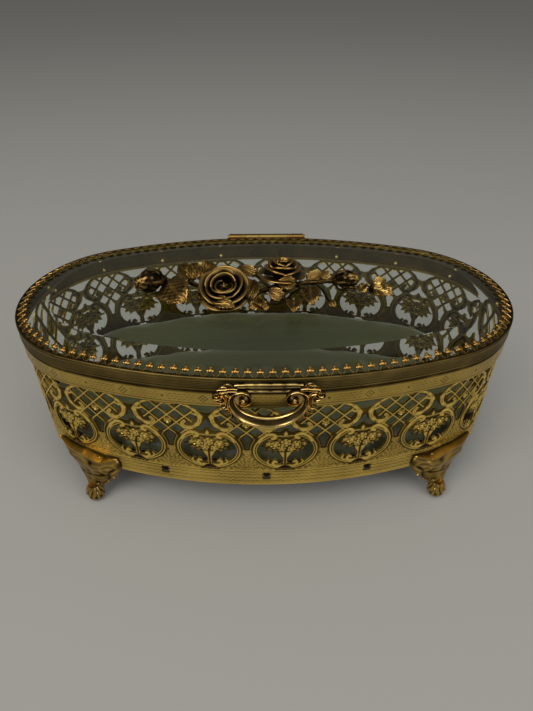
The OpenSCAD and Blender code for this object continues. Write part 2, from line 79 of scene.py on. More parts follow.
def oval_at(s, off):
    """Plan points (n, 2) and outward normals (n, 2) at distance s round the oval, moved out by off."""
    s = np.mod(np.asarray(s, float) + SIDE_LEN / 2, PERIMETER)
    off = np.broadcast_to(np.asarray(off, float), s.shape)
    turned = s >= HALF
    t = np.where(turned, s - HALF, s)
    on_side = t < SIDE_LEN
    ang = np.where(on_side, -math.pi / 2 + (t - SIDE_LEN / 2) / R_SIDE, -PHI + (t - SIDE_LEN) / R_END)
    n = np.stack([np.cos(ang), np.sin(ang)], -1)
    r = np.where(on_side, R_SIDE, R_END) + off
    centre = np.stack([np.where(on_side, 0.0, A - R_END), np.where(on_side, R_SIDE - B, 0.0)], -1)
    sign = np.where(turned, -1.0, 1.0)[..., None]
    return (centre + n * r[..., None]) * sign, n * sign


def station(s, off):
    """One plan point of the oval, with its tangent and its outward normal."""
    p, n = oval_at(np.array([s]), off)
    return p[0], np.array([-n[0][1], n[0][0]]), n[0]


def oval_nearest(xy):
    """Distance outside the oval and outward normal, at plan points."""
    x, y = xy[:, 0], xy[:, 1]
    ax, ay = np.abs(x), np.abs(y)
    on_side = np.arctan2(ay + R_SIDE - B, ax) > PHI
    dx = ax - np.where(on_side, 0.0, A - R_END)
    dy = ay - np.where(on_side, B - R_SIDE, 0.0)
    d = np.hypot(dx, dy)
    return d - np.where(on_side, R_SIDE, R_END), np.stack([dx / d * np.sign(x), dy / d * np.sign(y)], -1)


# Mesh helpers: a shape is its vertices in mm, its faces and, for some, the relief of each vertex, which the gilt
# materials turn into wear, patina and painted shade

def new_object(name, data):
    ob = bpy.data.objects.new(name, data)
    bpy.context.scene.collection.objects.link(ob)
    return ob


def new_mesh(name, verts, faces):
    """A mesh in metres from vertices in mm, in the place that the CAD model has."""
    me = bpy.data.meshes.new(name)
    v = np.asarray(verts, float) * 0.001
    v[:, 1] += Y_MID * 0.001
    me.from_pydata(v.tolist(), [], faces)
    return me


def add_mesh(name, verts, faces, mat, body, slot, nodes=(), relief=None, angle=None):
    """A piece riding on a body and standing for CAD nodes."""
    me = new_mesh(name, verts, faces)
    me.update()
    if relief is not None:
        layer = me.attributes.new("relief", "FLOAT", "POINT")
        layer.data.foreach_set("value", np.asarray(relief, np.float32))
    ob = new_object(name, me)
    me.polygons.foreach_set("use_smooth", [True] * len(me.polygons))
    if angle is not None:
        me.set_sharp_from_angle(angle=math.radians(angle))
    me.materials.append(mat)
    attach(ob, body)
    if nodes:
        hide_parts(*nodes)
    return ob


class Build:
    """Gathers shapes into one mesh."""

    def __init__(self):
        self.v, self.f, self.a, self.n = [], [], [], 0

    def add(self, shape, relief=1.0, put=None):
        """Add a shape, placed by the function put; its own relief goes before the one given here."""
        verts, faces = shape[:2]
        relief = shape[2] if len(shape) > 2 else relief
        verts = np.asarray(put(verts) if put else verts, float)
        self.v.append(verts)
        self.a.append(np.broadcast_to(np.asarray(relief, float), (len(verts),)).copy())
        self.f += [[i + self.n for i in f] for f in faces]
        self.n += len(verts)

    def piece(self, name, mat, body, slot, nodes=(), angle=None):
        add_mesh(name, np.concatenate(self.v), self.f, mat, body, slot, nodes, np.concatenate(self.a), angle)


def grid_faces(n, m, wrap_n=False, wrap_m=False):
    """Quads over an n by m grid of vertices."""
    i = np.arange(n if wrap_n else n - 1)
    j = np.arange(m if wrap_m else m - 1)
    i, j = np.meshgrid(i, j, indexing="ij")
    i2, j2 = (i + 1) % n, (j + 1) % m
    return np.stack([i * m + j, i2 * m + j, i2 * m + j2, i * m + j2], -1).reshape(-1, 4).tolist()


def capped_faces(n, m):
    """Faces of n rings of m vertices, closed at both ends."""
    return grid_faces(n, m, wrap_m=True) + [list(range(m))[::-1], [(n - 1) * m + k for k in range(m)]]


def edge_faces(n, m):
    """Quads that join the edge of an n by m grid to the edge of the same grid's copy after it."""
    k = n * m
    idx = np.arange(k).reshape(n, m)
    loop = np.concatenate([idx[:-1, 0], idx[-1, :-1], idx[:0:-1, -1], idx[0, :0:-1]])
    nxt = np.roll(loop, -1)
    return np.stack([nxt, loop, loop + k, nxt + k], -1).tolist()


def flipped(faces):
    return [f[::-1] for f in faces]


def tube(points, radii, sides=10, flat=1.0, up=(0, 0, 1)):
    """A closed tube along points; flat squeezes it towards the plane of its sides."""
    p = np.asarray(points, float)
    r = np.broadcast_to(np.asarray(radii, float), (len(p),))
    t = np.gradient(p, axis=0)
    t /= np.linalg.norm(t, axis=1)[:, None] + 1e-12
    side = np.cross(t, np.asarray(up, float))
    bad = np.linalg.norm(side, axis=1) < 1e-3
    side[bad] = np.cross(t[bad], [0.3, 1.0, 0.2])
    side /= np.linalg.norm(side, axis=1)[:, None]
    nor = np.cross(side, t)
    ang = np.arange(sides) * 2 * math.pi / sides
    ring = np.cos(ang)[None, :, None] * side[:, None] + flat * np.sin(ang)[None, :, None] * nor[:, None]
    return (p[:, None] + ring * r[:, None, None]).reshape(-1, 3), capped_faces(len(p), sides)


def ball(centre, r, n=8, m=12, scale=(1, 1, 1)):
    th = np.linspace(0, math.pi, n)
    ph = np.arange(m) * 2 * math.pi / m
    v = np.stack([np.sin(th)[:, None] * np.cos(ph), np.sin(th)[:, None] * np.sin(ph),
                  np.cos(th)[:, None] * np.ones(m)], -1).reshape(-1, 3)
    return v * r * np.asarray(scale) + np.asarray(centre, float), grid_faces(n, m, wrap_m=True)


def spline(points, n):
    """Catmull-Rom through the points, n samples."""
    p = np.asarray(points, float)
    q = np.vstack([2 * p[0] - p[1], p, 2 * p[-1] - p[-2]])
    t = np.linspace(0, len(p) - 1 - 1e-9, n)
    k = t.astype(int)
    x = (t - k)[:, None]
    a, b, c, d = q[k], q[k + 1], q[k + 2], q[k + 3]
    return 0.5 * (2 * b + (c - a) * x + (2 * a - 5 * b + 4 * c - d) * x ** 2 + (3 * b - a - 3 * c + d) * x ** 3)


def sweep(rings, n, closed=True):
    """A shape round the whole oval from (off, z) points, joined last to first or else capped at both ends."""
    s = np.arange(n) * PERIMETER / n
    k = len(rings)
    v = np.stack([np.c_[oval_at(s, off)[0], np.full(n, z)] for off, z in rings], 1).reshape(-1, 3)
    f = grid_faces(n, k, wrap_n=True, wrap_m=closed)
    if not closed:
        f += [[i * k for i in range(n)][::-1], [i * k + k - 1 for i in range(n)]]
    return v, f


# Materials

def connect(tree, made, inputs):
    """Set inputs of a node to values, or link them from sockets."""
    for key, value in inputs.items():
        if isinstance(value, bpy.types.NodeSocket):
            tree.links.new(value, made.inputs[key])
        else:
            made.inputs[key].default_value = value


def node(tree, kind, inputs, **settings):
    made = tree.nodes.new("ShaderNode" + kind)
    for key, value in settings.items():
        setattr(made, key, value)
    connect(tree, made, inputs)
    return made.outputs


def math_node(tree, operation, *values, clamp=False):
    return node(tree, "Math", dict(enumerate(values)), operation=operation, use_clamp=clamp)[0]


def two_tone(tree, factor, a, b):
    return node(tree, "Mix", {"Factor": factor, "A": (*a, 1), "B": (*b, 1)}, data_type="RGBA")["Result"]


def new_mat(name):
    m = bpy.data.materials.new(name)
    m.use_nodes = True
    return m, m.node_tree, m.node_tree.nodes["Principled BSDF"]


def gilt(name, bright, dark, rough, low=None, high=None):
    """Gilt brass: bright where it is rubbed, dark in recesses as painted shade and patina, and with mottled tone and
    fine grain.

    The wear and the painted shade follow the relief from low to high, or for a CAD solid the sharpness of its edges."""
    m, nt, bsdf = new_mat(name)
    place = node(nt, "TexCoord", {})["Object"]
    patina = node(nt, "TexNoise", {"Scale": 90.0, "Detail": 5.0, "Vector": place})["Fac"]
    fine = node(nt, "TexNoise", {"Scale": 420.0, "Detail": 3.0, "Vector": place})["Fac"]
    if low is None:
        low, high, height = 0.44, 0.53, node(nt, "NewGeometry", {})["Pointiness"]
    else:
        height = node(nt, "Attribute", {}, attribute_name="relief")["Fac"]
    ramp = node(nt, "MapRange", {"From Min": low, "From Max": high, "Value": height})["Result"]
    # Painted shade: where the relief is low the dark colour comes in, as shade in recesses as well as patina; where it
    # is high the metal shows rubbed
    wear_and_shade = math_node(nt, "MULTIPLY_ADD", patina, 0.7, math_node(nt, "SUBTRACT", ramp, 0.35), clamp=True)
    gloss = node(nt, "MapRange", {"To Min": rough + 0.12, "To Max": rough - 0.048, "Value": wear_and_shade})["Result"]
    grain = node(nt, "Bump", {"Strength": 0.2, "Distance": 0.0002, "Height": fine})["Normal"]
    connect(nt, bsdf, {"Base Color": two_tone(nt, wear_and_shade, dark, bright), "Metallic": 1.0, "Roughness": gloss,
                       "Normal": grain})
    return m


STAMPED = gilt("stamped_gilt", (0.94, 0.66, 0.156), (0.078, 0.049, 0.010), 0.40, 0.26, 0.66)
HOOP = gilt("engraved_gilt", (0.60, 0.415, 0.10), (0.045, 0.028, 0.007), 0.36, 0.1, 0.85)
CAST = gilt("cast_gilt", (0.54, 0.35, 0.09), (0.04, 0.024, 0.007), 0.32, 0.25, 0.95)
DARK = gilt("ridged_gilt", (0.35, 0.24, 0.069), (0.035, 0.023, 0.007), 0.36, 0.05, 1.0)
BRIGHT = gilt("bright_gilt", (0.52, 0.29, 0.07), (0.05, 0.026, 0.008), 0.34, 0.1, 0.95)
TIP = gilt("leaf_tip_gilt", (0.66, 0.42, 0.12), (0.03, 0.018, 0.006), 0.26, 0.3, 0.95)
ANTIQUE = gilt("antique_gilt", (0.92, 0.64, 0.22), (0.030, 0.020, 0.009), 0.26, 0.36, 0.98)
ROSE = gilt("rose_gilt", (0.45, 0.28, 0.08), (0.020, 0.013, 0.006), 0.36, 0.58, 1.08)
LEAF = gilt("leaf_gilt", (0.50, 0.30, 0.08), (0.024, 0.015, 0.005), 0.34, 0.34, 1.0)
POLISHED = gilt("polished_gilt", (1.0, 0.80, 0.36), (0.6, 0.45, 0.18), 0.45)
PLAIN = gilt("plain_brass", (0.34, 0.25, 0.10), (0.14, 0.10, 0.04), 0.45)
TARNISHED = gilt("tarnished_brass", (0.055, 0.038, 0.018), (0.02, 0.014, 0.008), 0.55)
CAST_CAD = gilt("cast_gilt_solid", (0.27, 0.155, 0.038), (0.08, 0.045, 0.012), 0.34)


def card_material():
    m, nt, bsdf = new_mat("stiff_card")
    place = node(nt, "TexCoord", {})["Object"]
    fibre = node(nt, "TexNoise", {"Scale": 260.0, "Detail": 6.0, "Vector": place})["Fac"]
    connect(nt, bsdf, {"Base Color": two_tone(nt, fibre, (0.045, 0.016, 0.012), (0.085, 0.034, 0.024)),
                       "Roughness": 0.85})
    return m


def glass_material():
    m, nt, bsdf = new_mat("clear_glass")
    connect(nt, bsdf, {"Base Color": (0.86, 0.90, 0.85, 1), "Roughness": 0.0, "IOR": 1.38, "Transmission Weight": 1.0})
    clear = node(nt, "BsdfTransparent", {"Color": (0.84, 0.88, 0.82, 1)})["BSDF"]
    path = node(nt, "LightPath", {})
    # Rays that would go on bouncing inside the glass leave it, so that the bevel doesn't turn black
    deep = math_node(nt, "GREATER_THAN", path["Ray Depth"], 2.5)
    either = math_node(nt, "MAXIMUM", path["Is Shadow Ray"], deep)
    mix = node(nt, "MixShader", {"Fac": either, 1: bsdf.outputs["BSDF"], 2: clear})["Shader"]
    connect(nt, nt.nodes["Material Output"], {"Surface": mix})
    return m


def satin_material():
    m, nt, bsdf = new_mat("green_satin")
    place = node(nt, "TexCoord", {})["Object"]
    drawn = node(nt, "Mapping", {"Scale": (14.0, 160.0, 60.0), "Vector": place})["Vector"]
    streak = node(nt, "TexNoise", {"Scale": 1.0, "Detail": 4.0, "Vector": drawn})["Fac"]
    weave = node(nt, "TexWave", {"Scale": 900.0, "Distortion": 0.6, "Vector": place})["Fac"]
    threads = node(nt, "Bump", {"Strength": 0.08, "Distance": 0.0002, "Height": weave})["Normal"]
    connect(nt, bsdf, {"Base Color": two_tone(nt, streak, (0.064, 0.065, 0.031), (0.118, 0.119, 0.059)),
                       "Roughness": 0.42, "Sheen Weight": 0.5, "Sheen Roughness": 0.35, "Normal": threads})
    return m


CARD, GLASS, SATIN = card_material(), glass_material(), satin_material()

# Camera at the photograph's viewing angle, and a plain studio

F_PX, CAM_X, CAM_Y, CAM_Z, PITCH, YAW = 523.4, 0.741, -223.2, 222.76, 0.660, 0.013
SENSOR, IMAGE_HEIGHT = 36.0, 711.0
FLOOR_HALF = 9.0
LAMPS = {"key": ((-0.62, -0.70, 1.10), 0.8, 8.0, (1.0, 0.97, 0.92)),
         "fill": ((0.85, -0.80, 0.80), 0.9, 4.4, (0.97, 0.98, 1.0)),
         "top": ((0.10, -0.35, 1.50), 1.1, 4.6, (1.0, 0.98, 0.95))}
LAMP_AIM = Vector((0, 0, 0.05))


def camera():
    data = bpy.data.cameras.new("camera")
    data.sensor_width = SENSOR
    data.lens = F_PX * SENSOR / IMAGE_HEIGHT
    data.clip_start = 0.01
    cam = new_object("camera", data)
    place = Matrix.Translation(Vector((CAM_X, CAM_Y, CAM_Z)) * 0.001)
    cam.matrix_world = Matrix.Rotation(-YAW, 4, "Z") @ place @ Matrix.Rotation(math.pi / 2 - PITCH, 4, "X")
    bpy.context.scene.camera = cam


def studio():
    bpy.context.scene.view_settings.view_transform = "Standard"
    w = FLOOR_HALF
    me = bpy.data.meshes.new("floor")
    me.from_pydata([(-w, -w, 0), (w, -w, 0), (w, w, 0), (-w, w, 0)], [], [(0, 1, 2, 3)])
    m, nt, bsdf = new_mat("pale_floor")
    noise = node(nt, "TexNoise", {"Scale": 6.0})["Fac"]
    connect(nt, bsdf, {"Base Color": (0.38, 0.375, 0.35, 1), "Roughness": 0.9,
                       "Normal": node(nt, "Bump", {"Strength": 0.02, "Height": noise})["Normal"]})
    me.materials.append(m)
    new_object("floor", me)

    world = bpy.data.worlds.new("studio")
    bpy.context.scene.world = world
    world.use_nodes = True
    wt = world.node_tree
    light = wt.nodes["Background"]
    connect(wt, light, {"Color": (0.90, 0.89, 0.87, 1), "Strength": 0.30})
    # Seen, through glass or in metal too, the world has the tone of the far floor, so that no horizon shows
    backdrop = node(wt, "Background", {"Color": (0.122, 0.120, 0.112, 1)})["Background"]
    path = node(wt, "LightPath", {})
    seen = math_node(wt, "ADD", path["Is Camera Ray"], path["Is Transmission Ray"], clamp=True)
    shiny = math_node(wt, "ADD", seen, path["Is Glossy Ray"], clamp=True)
    mix = node(wt, "MixShader", {"Fac": shiny, 1: light.outputs["Background"], 2: backdrop})["Shader"]
    connect(wt, wt.nodes["World Output"], {"Surface": mix})
    for name, (place, size, power, tone) in LAMPS.items():
        data = bpy.data.lights.new(name, "AREA")
        data.size, data.energy, data.color = size, power, tone
        lamp = new_object(name, data)
        lamp.location = place
        lamp.rotation_euler = (LAMP_AIM - Vector(place)).to_track_quat("-Z", "Y").to_euler()


camera()
studio()

# Stamped wall: one repeat is drawn as signed distances on a grid, then bent round the oval

def to_segment(u, v, start, end):
    """Distance to a segment, and how far along it the nearest point is."""
    (x0, y0), (x1, y1) = start, end
    dx, dy = x1 - x0, y1 - y0
    t = unit(((u - x0) * dx + (v - y0) * dy) / (dx * dx + dy * dy + 1e-12))
    return np.hypot(u - x0 - t * dx, v - y0 - t * dy), t


def seg_dist(u, v, pts, w):
    """Signed distance to a polyline of half width w, a number or one for each point."""
    p = np.asarray(pts, float)
    w = np.broadcast_to(np.asarray(w, float), (len(p),))
    best = np.full(u.shape, FAR)
    for start, end, w0, w1 in zip(p[:-1], p[1:], w[:-1], w[1:]):
        d, t = to_segment(u, v, start, end)
        best = np.minimum(best, d - (w0 + (w1 - w0) * t))
    return best


def stroke(u, v, points, n, w):
    """Signed distance to a smooth line through the points."""
    return seg_dist(u, v, spline(points, n), w)


def poly_dist(u, v, pts):
    """Signed distance to a filled polygon."""
    p = np.asarray(pts, float)
    inside = np.zeros(u.shape, bool)
    for (x0, y0), (x1, y1) in zip(p, np.roll(p, -1, 0)):
        inside ^= ((y0 > v) != (y1 > v)) & (u < (x1 - x0) * (v - y0) / (y1 - y0 + 1e-12) + x0)
    d = union(to_segment(u, v, start, end)[0] for start, end in zip(p, np.roll(p, -1, 0)))
    return np.where(inside, -d, d)


def ellipse(u, v, cx, cy, a, b):
    """About the distance to an ellipse."""
    x, y = (u - cx) / a, (v - cy) / b
    k = np.hypot(x, y)
    return (k - 1) * k / (np.hypot(x / a, y / b) + 1e-9)


def dome(d, w):
    """Height of a rounded bead of half width w from its signed distance."""
    return np.sqrt(unit(1 - (1 - unit(-d / w)) ** 2))


def rosette(u, v, cx, cy, r, petals, turn=0.0):
    """Height of a small flower with a centre boss."""
    x, y = u - cx, v - cy
    k = np.hypot(x, y) / r
    ang = np.arctan2(y, x)
    h = unit(1 - k ** 5) * (0.22 + 0.78 * np.abs(np.cos(petals / 2 * ang + turn + 1.4 * k)) ** 0.8)
    h = h * (1 - 0.75 * bell(k - 0.40, 0.09))
    h = np.where(k < 0.34, 0.5 + 0.5 * np.sqrt(unit(1 - (k / 0.34) ** 2)), h)
    return np.where(k < 1, h, 0)


# One repeat in mm: u from the axis of its urn, or c from the axis between two urns, and v up from the plain band
TILE_W, TILE_H = 34.86, 41.0
URN = [(0, 12.6), (3.1, 12.9), (3.2, 12.2), (2.5, 10.4), (1.4, 8.4), (1.2, 6.4), (1.7, 5.6), (1.2, 4.8), (1.3, 3.4),
       (2.2, 2.6), (2.2, 1.2), (0, 1.2)]
BLOOMS = [(-4.6, 16.9, 2.9), (0.2, 18.3, 2.8), (5.2, 17.0, 3.0), (-1.6, 14.6, 2.2), (2.6, 14.3, 2.1), (-7.6, 17.6, 1.5),
          (8.4, 17.4, 1.4)]
TWIGS = [[(-6, 16.5), (-8.6, 16.6), (-11.3, 16.0)], [(-5.4, 15.6), (-7.6, 14.0), (-9.0, 12.9)],
         [(-3.8, 14.6), (-5.0, 12.8), (-5.9, 11.6)], [(-5.5, 18.5), (-7.4, 20.0), (-8.2, 21.6)],
         [(6, 16.6), (9, 17.0), (11.6, 17.4)], [(5.6, 15.6), (8.0, 14.4), (9.6, 13.2)],
         [(4.4, 14.8), (5.8, 13.0), (6.6, 11.4)], [(6.2, 18.6), (8.2, 19.8), (9.6, 21.0)],
         [(-2.4, 19.4), (-3.0, 20.8), (-3.2, 22.2)], [(2.8, 19.6), (3.6, 20.6), (4.4, 21.8)]]
SLOT = [(-1, 0.25), (4.3, 0.25), (4.0, 1.3), (2.6, 1.9), (1.7, 3.2), (-1, 3.2)]
KEYHOLE = [(-1, 23.2), (0.0, 23.2), (2.3, 20.6), (1.6, 18.0), (0.85, 15.6), (0.85, 14.4), (0, 13.7), (-1, 13.7)]
KEY_EDGE = [(-1, 24.4), (0.0, 24.4), (3.6, 20.6), (2.4, 18.0), (1.7, 15.6), (1.7, 13.9), (0, 12.7), (-1, 12.7)]
ARROW = [(-1, 31.8), (0.6, 31.8), (1.1, 30.0), (3.2, 28.0), (5.6, 26.2), (5.6, 25.2), (3.2, 24.7), (1.5, 25.4),
         (0.7, 26.9), (-1, 26.9)]
BUD = [(-1, 25.9), (0, 25.9), (0.9, 24.4), (1.2, 23.2), (0, 22.6), (-1, 22.6)]
SCROLL = spline([(7.0, 40.6), (11.4, 38.6), (14.6, 34.6), (14.3, 30.2), (11.6, 26.9), (8.2, 26.6), (6.5, 28.4),
                 (7.6, 30.0)], 34)
LOBES = [(10.0, 39.6), (12.8, 37.4), (14.9, 33.6), (13.4, 28.6), (9.6, 26.2)]
URN_Y, FRAME_TOP, ROSE_Y, BAR_PITCH = 13.3, 22.5, 29.6, 8.0


def tile(u, v):
    """Signed distance to the openings (positive in metal) and the relief, for one repeat centred on an urn."""
    au = np.abs(u)
    c = TILE_W / 2 - au
    # What stands in the urn panel's oval opening
    urn = poly_dist(au, v, URN)
    flowers = union([np.hypot(u - x, v - y) - r * (1 + 0.07 * np.cos(7 * np.arctan2(v - y, u - x)))
                     for x, y, r in BLOOMS] + [seg_dist(u, v, line, (1.3, 1.1, 0.15)) for line in TWIGS])
    foot = np.minimum(stroke(au, v, [(1.6, 3.2), (4.0, 3.0), (5.6, 4.6), (5.0, 6.2), (4.0, 5.6)], 12, 1.0),
                      stroke(au, v, [(5.4, 3.6), (7.4, 4.4), (8.2, 6.0), (7.6, 6.8)], 9, 0.75))
    top = stroke(au, v, [(12.0, 19.2), (10.0, 22.4), (7.2, 23.9), (5.0, 23.2), (4.6, 21.8), (5.8, 21.2)], 16,
                 np.linspace(0.9, 1.15, 16))
    rail = seg_dist(au, v, [(0, 22.6), (4.6, 22.9)], 0.75)
    panel = np.maximum(ellipse(u, v, 0, URN_Y, 12.7, 10.2), -union([urn, flowers, foot, top, rail]))
    # Lattice of the cartouche and of the wedge under it
    cartouche = ellipse(c, v, 0, 33.1, 15.7, 8.7)
    wedge = np.maximum.reduce([-cartouche, 35.3 - v + 0.25 * au, v - 40.5])
    below = np.maximum.reduce([c - 8.9, v - 30.0, -ellipse(u, v, 0, URN_Y, 15.3, 12.6), 22.4 - v])
    area = np.minimum(ellipse(c, v, 0, 33.6, 12.6, 6.9), below)
    across = [np.mod(w, BAR_PITCH) for w in (c + v - 0.9, v - c - 0.9)]
    bars = union(np.minimum(q, BAR_PITCH - q) / math.sqrt(2) - 0.62 for q in across)
    scroll = seg_dist(c, v, SCROLL, np.linspace(1.05, 1.15, 34))
    lobes = union(np.hypot(c - x, v - y) - 1.45 for x, y in LOBES)
    arch = stroke(c, v, [(0, 39.6), (3.6, 40.0), (7.4, 40.4)], 6, 0.7)
    side_leaf = stroke(c, v, [(12.9, 34.6), (10.8, 35.4), (9.8, 34.2)], 6, np.linspace(0.9, 0.5, 6))
    rose = np.hypot(c, v - ROSE_Y) - 2.15
    lattice = np.maximum(area, -union([bars, scroll, lobes, rose, arch, side_leaf]))
    openings = union([panel, poly_dist(au, v, SLOT), poly_dist(c, v, KEYHOLE), poly_dist(au, v, ARROW), wedge,
                      lattice])

    # Relief: beaded frame, stippled fans, then the ornaments as rounded beads
    in_frame = v < FRAME_TOP
    ring = np.abs(ellipse(u, v, 0, URN_Y, 13.7, 11.2))
    h = np.maximum(0.20, np.where(in_frame, 0.62 * bell(ring - 0.62, 0.34) + 0.16, 0))
    h = np.where((ring < 0.25) & in_frame, 0.26, h)
    outside = ellipse(u, v, 0, URN_Y, 15.0, 12.4)
    fan = np.abs(np.sin(7.5 * np.arctan2(v - 2.0, c * 1.3 + 1e-6) + 0.6 * np.sin(np.hypot(c, v - 2) * 1.9)))
    grit = unit(np.sin(u * 7.3 + 1.7 * np.sin(v * 3.1)) * np.sin(v * 7.9 + 1.3 * np.sin(u * 2.7))) ** 0.6
    stipple = 0.24 + (0.20 * fan + 0.40 * grit) * unit(outside)
    h = np.maximum(h, np.where((outside > 0) & (v < 13.6), stipple, 0))
    h = np.maximum(h, 0.5 * bell(poly_dist(c, v, KEY_EDGE), 0.4))
    h = np.maximum(h, 0.72 * dome(urn, 1.5))
    h = np.where((np.abs(v - 8.3) < 0.3) & (urn < 0), 0.42, h)
    bouquet = 0.55 * dome(flowers, 1.3)
    for x, y, r in BLOOMS:
        bouquet = np.where(np.hypot(u - x, v - y) < r, rosette(u, v, x, y, r, 6 if r > 2.5 else 5, x), bouquet)
    vein = union(seg_dist(u, v, line, 0.0) for line in TWIGS)
    h = np.maximum(h, np.where((vein < 0.22) & (flowers < 0), np.minimum(bouquet, 0.3), bouquet))
    for part, w, g in ((foot, 0.9, 0.7), (top, 1.1, 0.85), (rail, 0.7, 0.6), (scroll, 1.1, 0.8), (lobes, 1.2, 0.8),
                       (np.maximum(bars, area - 0.5), 0.6, 0.70), (arch, 0.7, 0.6), (side_leaf, 0.7, 0.7)):
        h = np.maximum(h, g * dome(part, w) * (part < 0))
    h = np.where((seg_dist(c, v, SCROLL, 0.0) < 0.26) & (lobes > -0.2), np.minimum(h, 0.42), h)
    h = np.maximum(h, 0.95 * rosette(c, v, 0, ROSE_Y, 2.1, 6))
    return openings, unit(np.maximum(h, 0.9 * dome(poly_dist(au, v, BUD), 0.9)))


def wall_field(s, z, pitch, shift):
    """Signed distance to the openings, and the relief, over a panel; s is along the wall."""
    u = (np.mod(s - shift + pitch / 2, pitch) - pitch / 2) * (TILE_W / pitch)
    v = z - Z_PIERCED
    d, h = tile(u, np.clip(v, 0, TILE_H))
    d = np.where(v < 0, np.maximum(d, -v), d)
    d = np.where(v > TILE_H - 0.5, np.maximum(d, v - TILE_H + 0.5), d)
    # Plain band with a lip and rows of dashes
    x = np.mod(s + z * 0.9, 2.3) - 1.15
    y = np.mod(z - Z_WALL - 1.4 + 0.3 * x + 0.25 * np.sin(s * 1.7), 2.3) - 1.15
    dash = bell(np.hypot(np.clip(np.abs(x) - 0.6, 0, None), y), 0.22) * ((z > Z_WALL + 1.6) & (v < -1.2))
    h = np.where(v < 0, 0.55 + 0.25 * bell(v + 0.1, 0.35) - 0.32 * dash, h)
    h = np.where((v < 0) & (np.abs(v + 1.0) < 0.22), 0.2, h)
    h = np.where(z < Z_WALL + 0.7, 0.62, h)
    return d, np.where(v > TILE_H - 0.4, 0.3, h)


def lug_field(s, z, centres):
    """Signed distance to the rounded lug holes in the plain band."""
    corners = [(np.abs(s - c) - 1.35, np.abs(z - (Z_WALL + 6.0)) - 1.8) for c in centres]
    return union(np.hypot(np.maximum(x, 0), np.maximum(y, 0)) + np.minimum(np.maximum(x, y), 0) - 0.25
                 for x, y in corners)


CELL, RELIEF_DEPTH = 0.36, 0.85


def wall_panel(side, middle, length, pitch, shift, lugs):
    """A pierced, stamped panel with both faces and the edges of its openings."""
    z0, z1 = Z_WALL, Z_HOOP + 0.8
    n, m = int(round(length / CELL)) + 1, int(round((z1 - z0) / CELL)) + 1
    S, Z = np.meshgrid(np.linspace(-length / 2, length / 2, n), np.linspace(z0, z1, m), indexing="ij")

    def field(s, z):
        d, h = wall_field(s, z, pitch, shift)
        return np.minimum(d, lug_field(s, z, lugs)), h

    inside = field(S, Z)[0] > 0
    near = np.zeros_like(inside)
    for di in (-1, 0, 1):
        for dj in (-1, 0, 1):
            near |= np.roll(np.roll(inside, di, 0), dj, 1)
    # Grid points just past an edge are drawn onto it
    snap = near & ~inside
    end = ((np.arange(n) == 0) | (np.arange(n) == n - 1))[:, None]
    e = 0.05
    for _ in range(3):
        gx = (field(S + e, Z)[0] - field(S - e, Z)[0]) / (2 * e)
        gz = (field(S, Z + e)[0] - field(S, Z - e)[0]) / (2 * e)
        step = np.clip(-field(S, Z)[0] / np.maximum(gx * gx + gz * gz, 0.25), -0.5, 0.5)
        S = S + np.where(snap & ~end, step * gx, 0)
        Z = Z + np.where(snap, step * gz, 0)
    D, H = field(S, Z)
    H = unit(H - 0.24 * bell(np.maximum(D, 0), 0.42))
    keep = inside[:-1, :-1] | inside[1:, :-1] | inside[:-1, 1:] | inside[1:, 1:]
    idx = np.arange(n * m).reshape(n, m)
    quads = np.stack([idx[:-1, :-1], idx[1:, :-1], idx[1:, 1:], idx[:-1, 1:]], -1)[keep]
    used = np.unique(quads)
    k = len(used)
    renumber = np.full(n * m, -1)
    renumber[used] = np.arange(k)
    q = renumber[quads]
    s, z, h = S.ravel()[used], Z.ravel()[used], H.ravel()[used]
    front = oval_at(middle + s, WALL_OUT - 0.05 + (h - 0.75) * RELIEF_DEPTH)[0]
    back = oval_at(middle + s, WALL_IN + 0.1 + (h - 0.6) * RELIEF_DEPTH * 0.7)[0]
    # An edge with one face only is the rim of an opening or of the panel
    edges = np.concatenate([q[:, [0, 1]], q[:, [1, 2]], q[:, [2, 3]], q[:, [3, 0]]])
    code = np.sort(edges, 1) @ np.array([k + 1, 1], np.int64)
    _, first, count = np.unique(code, return_index=True, return_counts=True)
    rim = edges[first[count == 1]]
    sides = np.stack([rim[:, 1], rim[:, 0], rim[:, 0] + k, rim[:, 1] + k], -1)
    faces = np.concatenate([q, q[:, ::-1] + k, sides]).tolist()
    verts = np.concatenate([np.c_[front, z], np.c_[back, z]])
    add_mesh("stamped_wall_" + side, verts, faces, STAMPED, "base", "stamped_brass", ("wall_" + side,),
             np.concatenate([h, unit(0.60 - 0.4 * h)]), 55)


LONG_PANEL = (SIDE_LEN, LONG_PITCH, URN_SHIFT, (-48.7, 0.0, 48.7))
END_PANEL = (END_LEN, END_PITCH, END_SHIFT, (-22.0, 22.0))
PANELS = {"front": LONG_PANEL, "right": END_PANEL, "back": LONG_PANEL, "left": END_PANEL}
for quarter, (side, panel) in enumerate(PANELS.items()):
    wall_panel(side, quarter * HALF / 2, *panel)


# The hoop and the band of the lid

DOT_OFF, DOT_DROP, DOT_R = -1.75, 2.1, 1.15


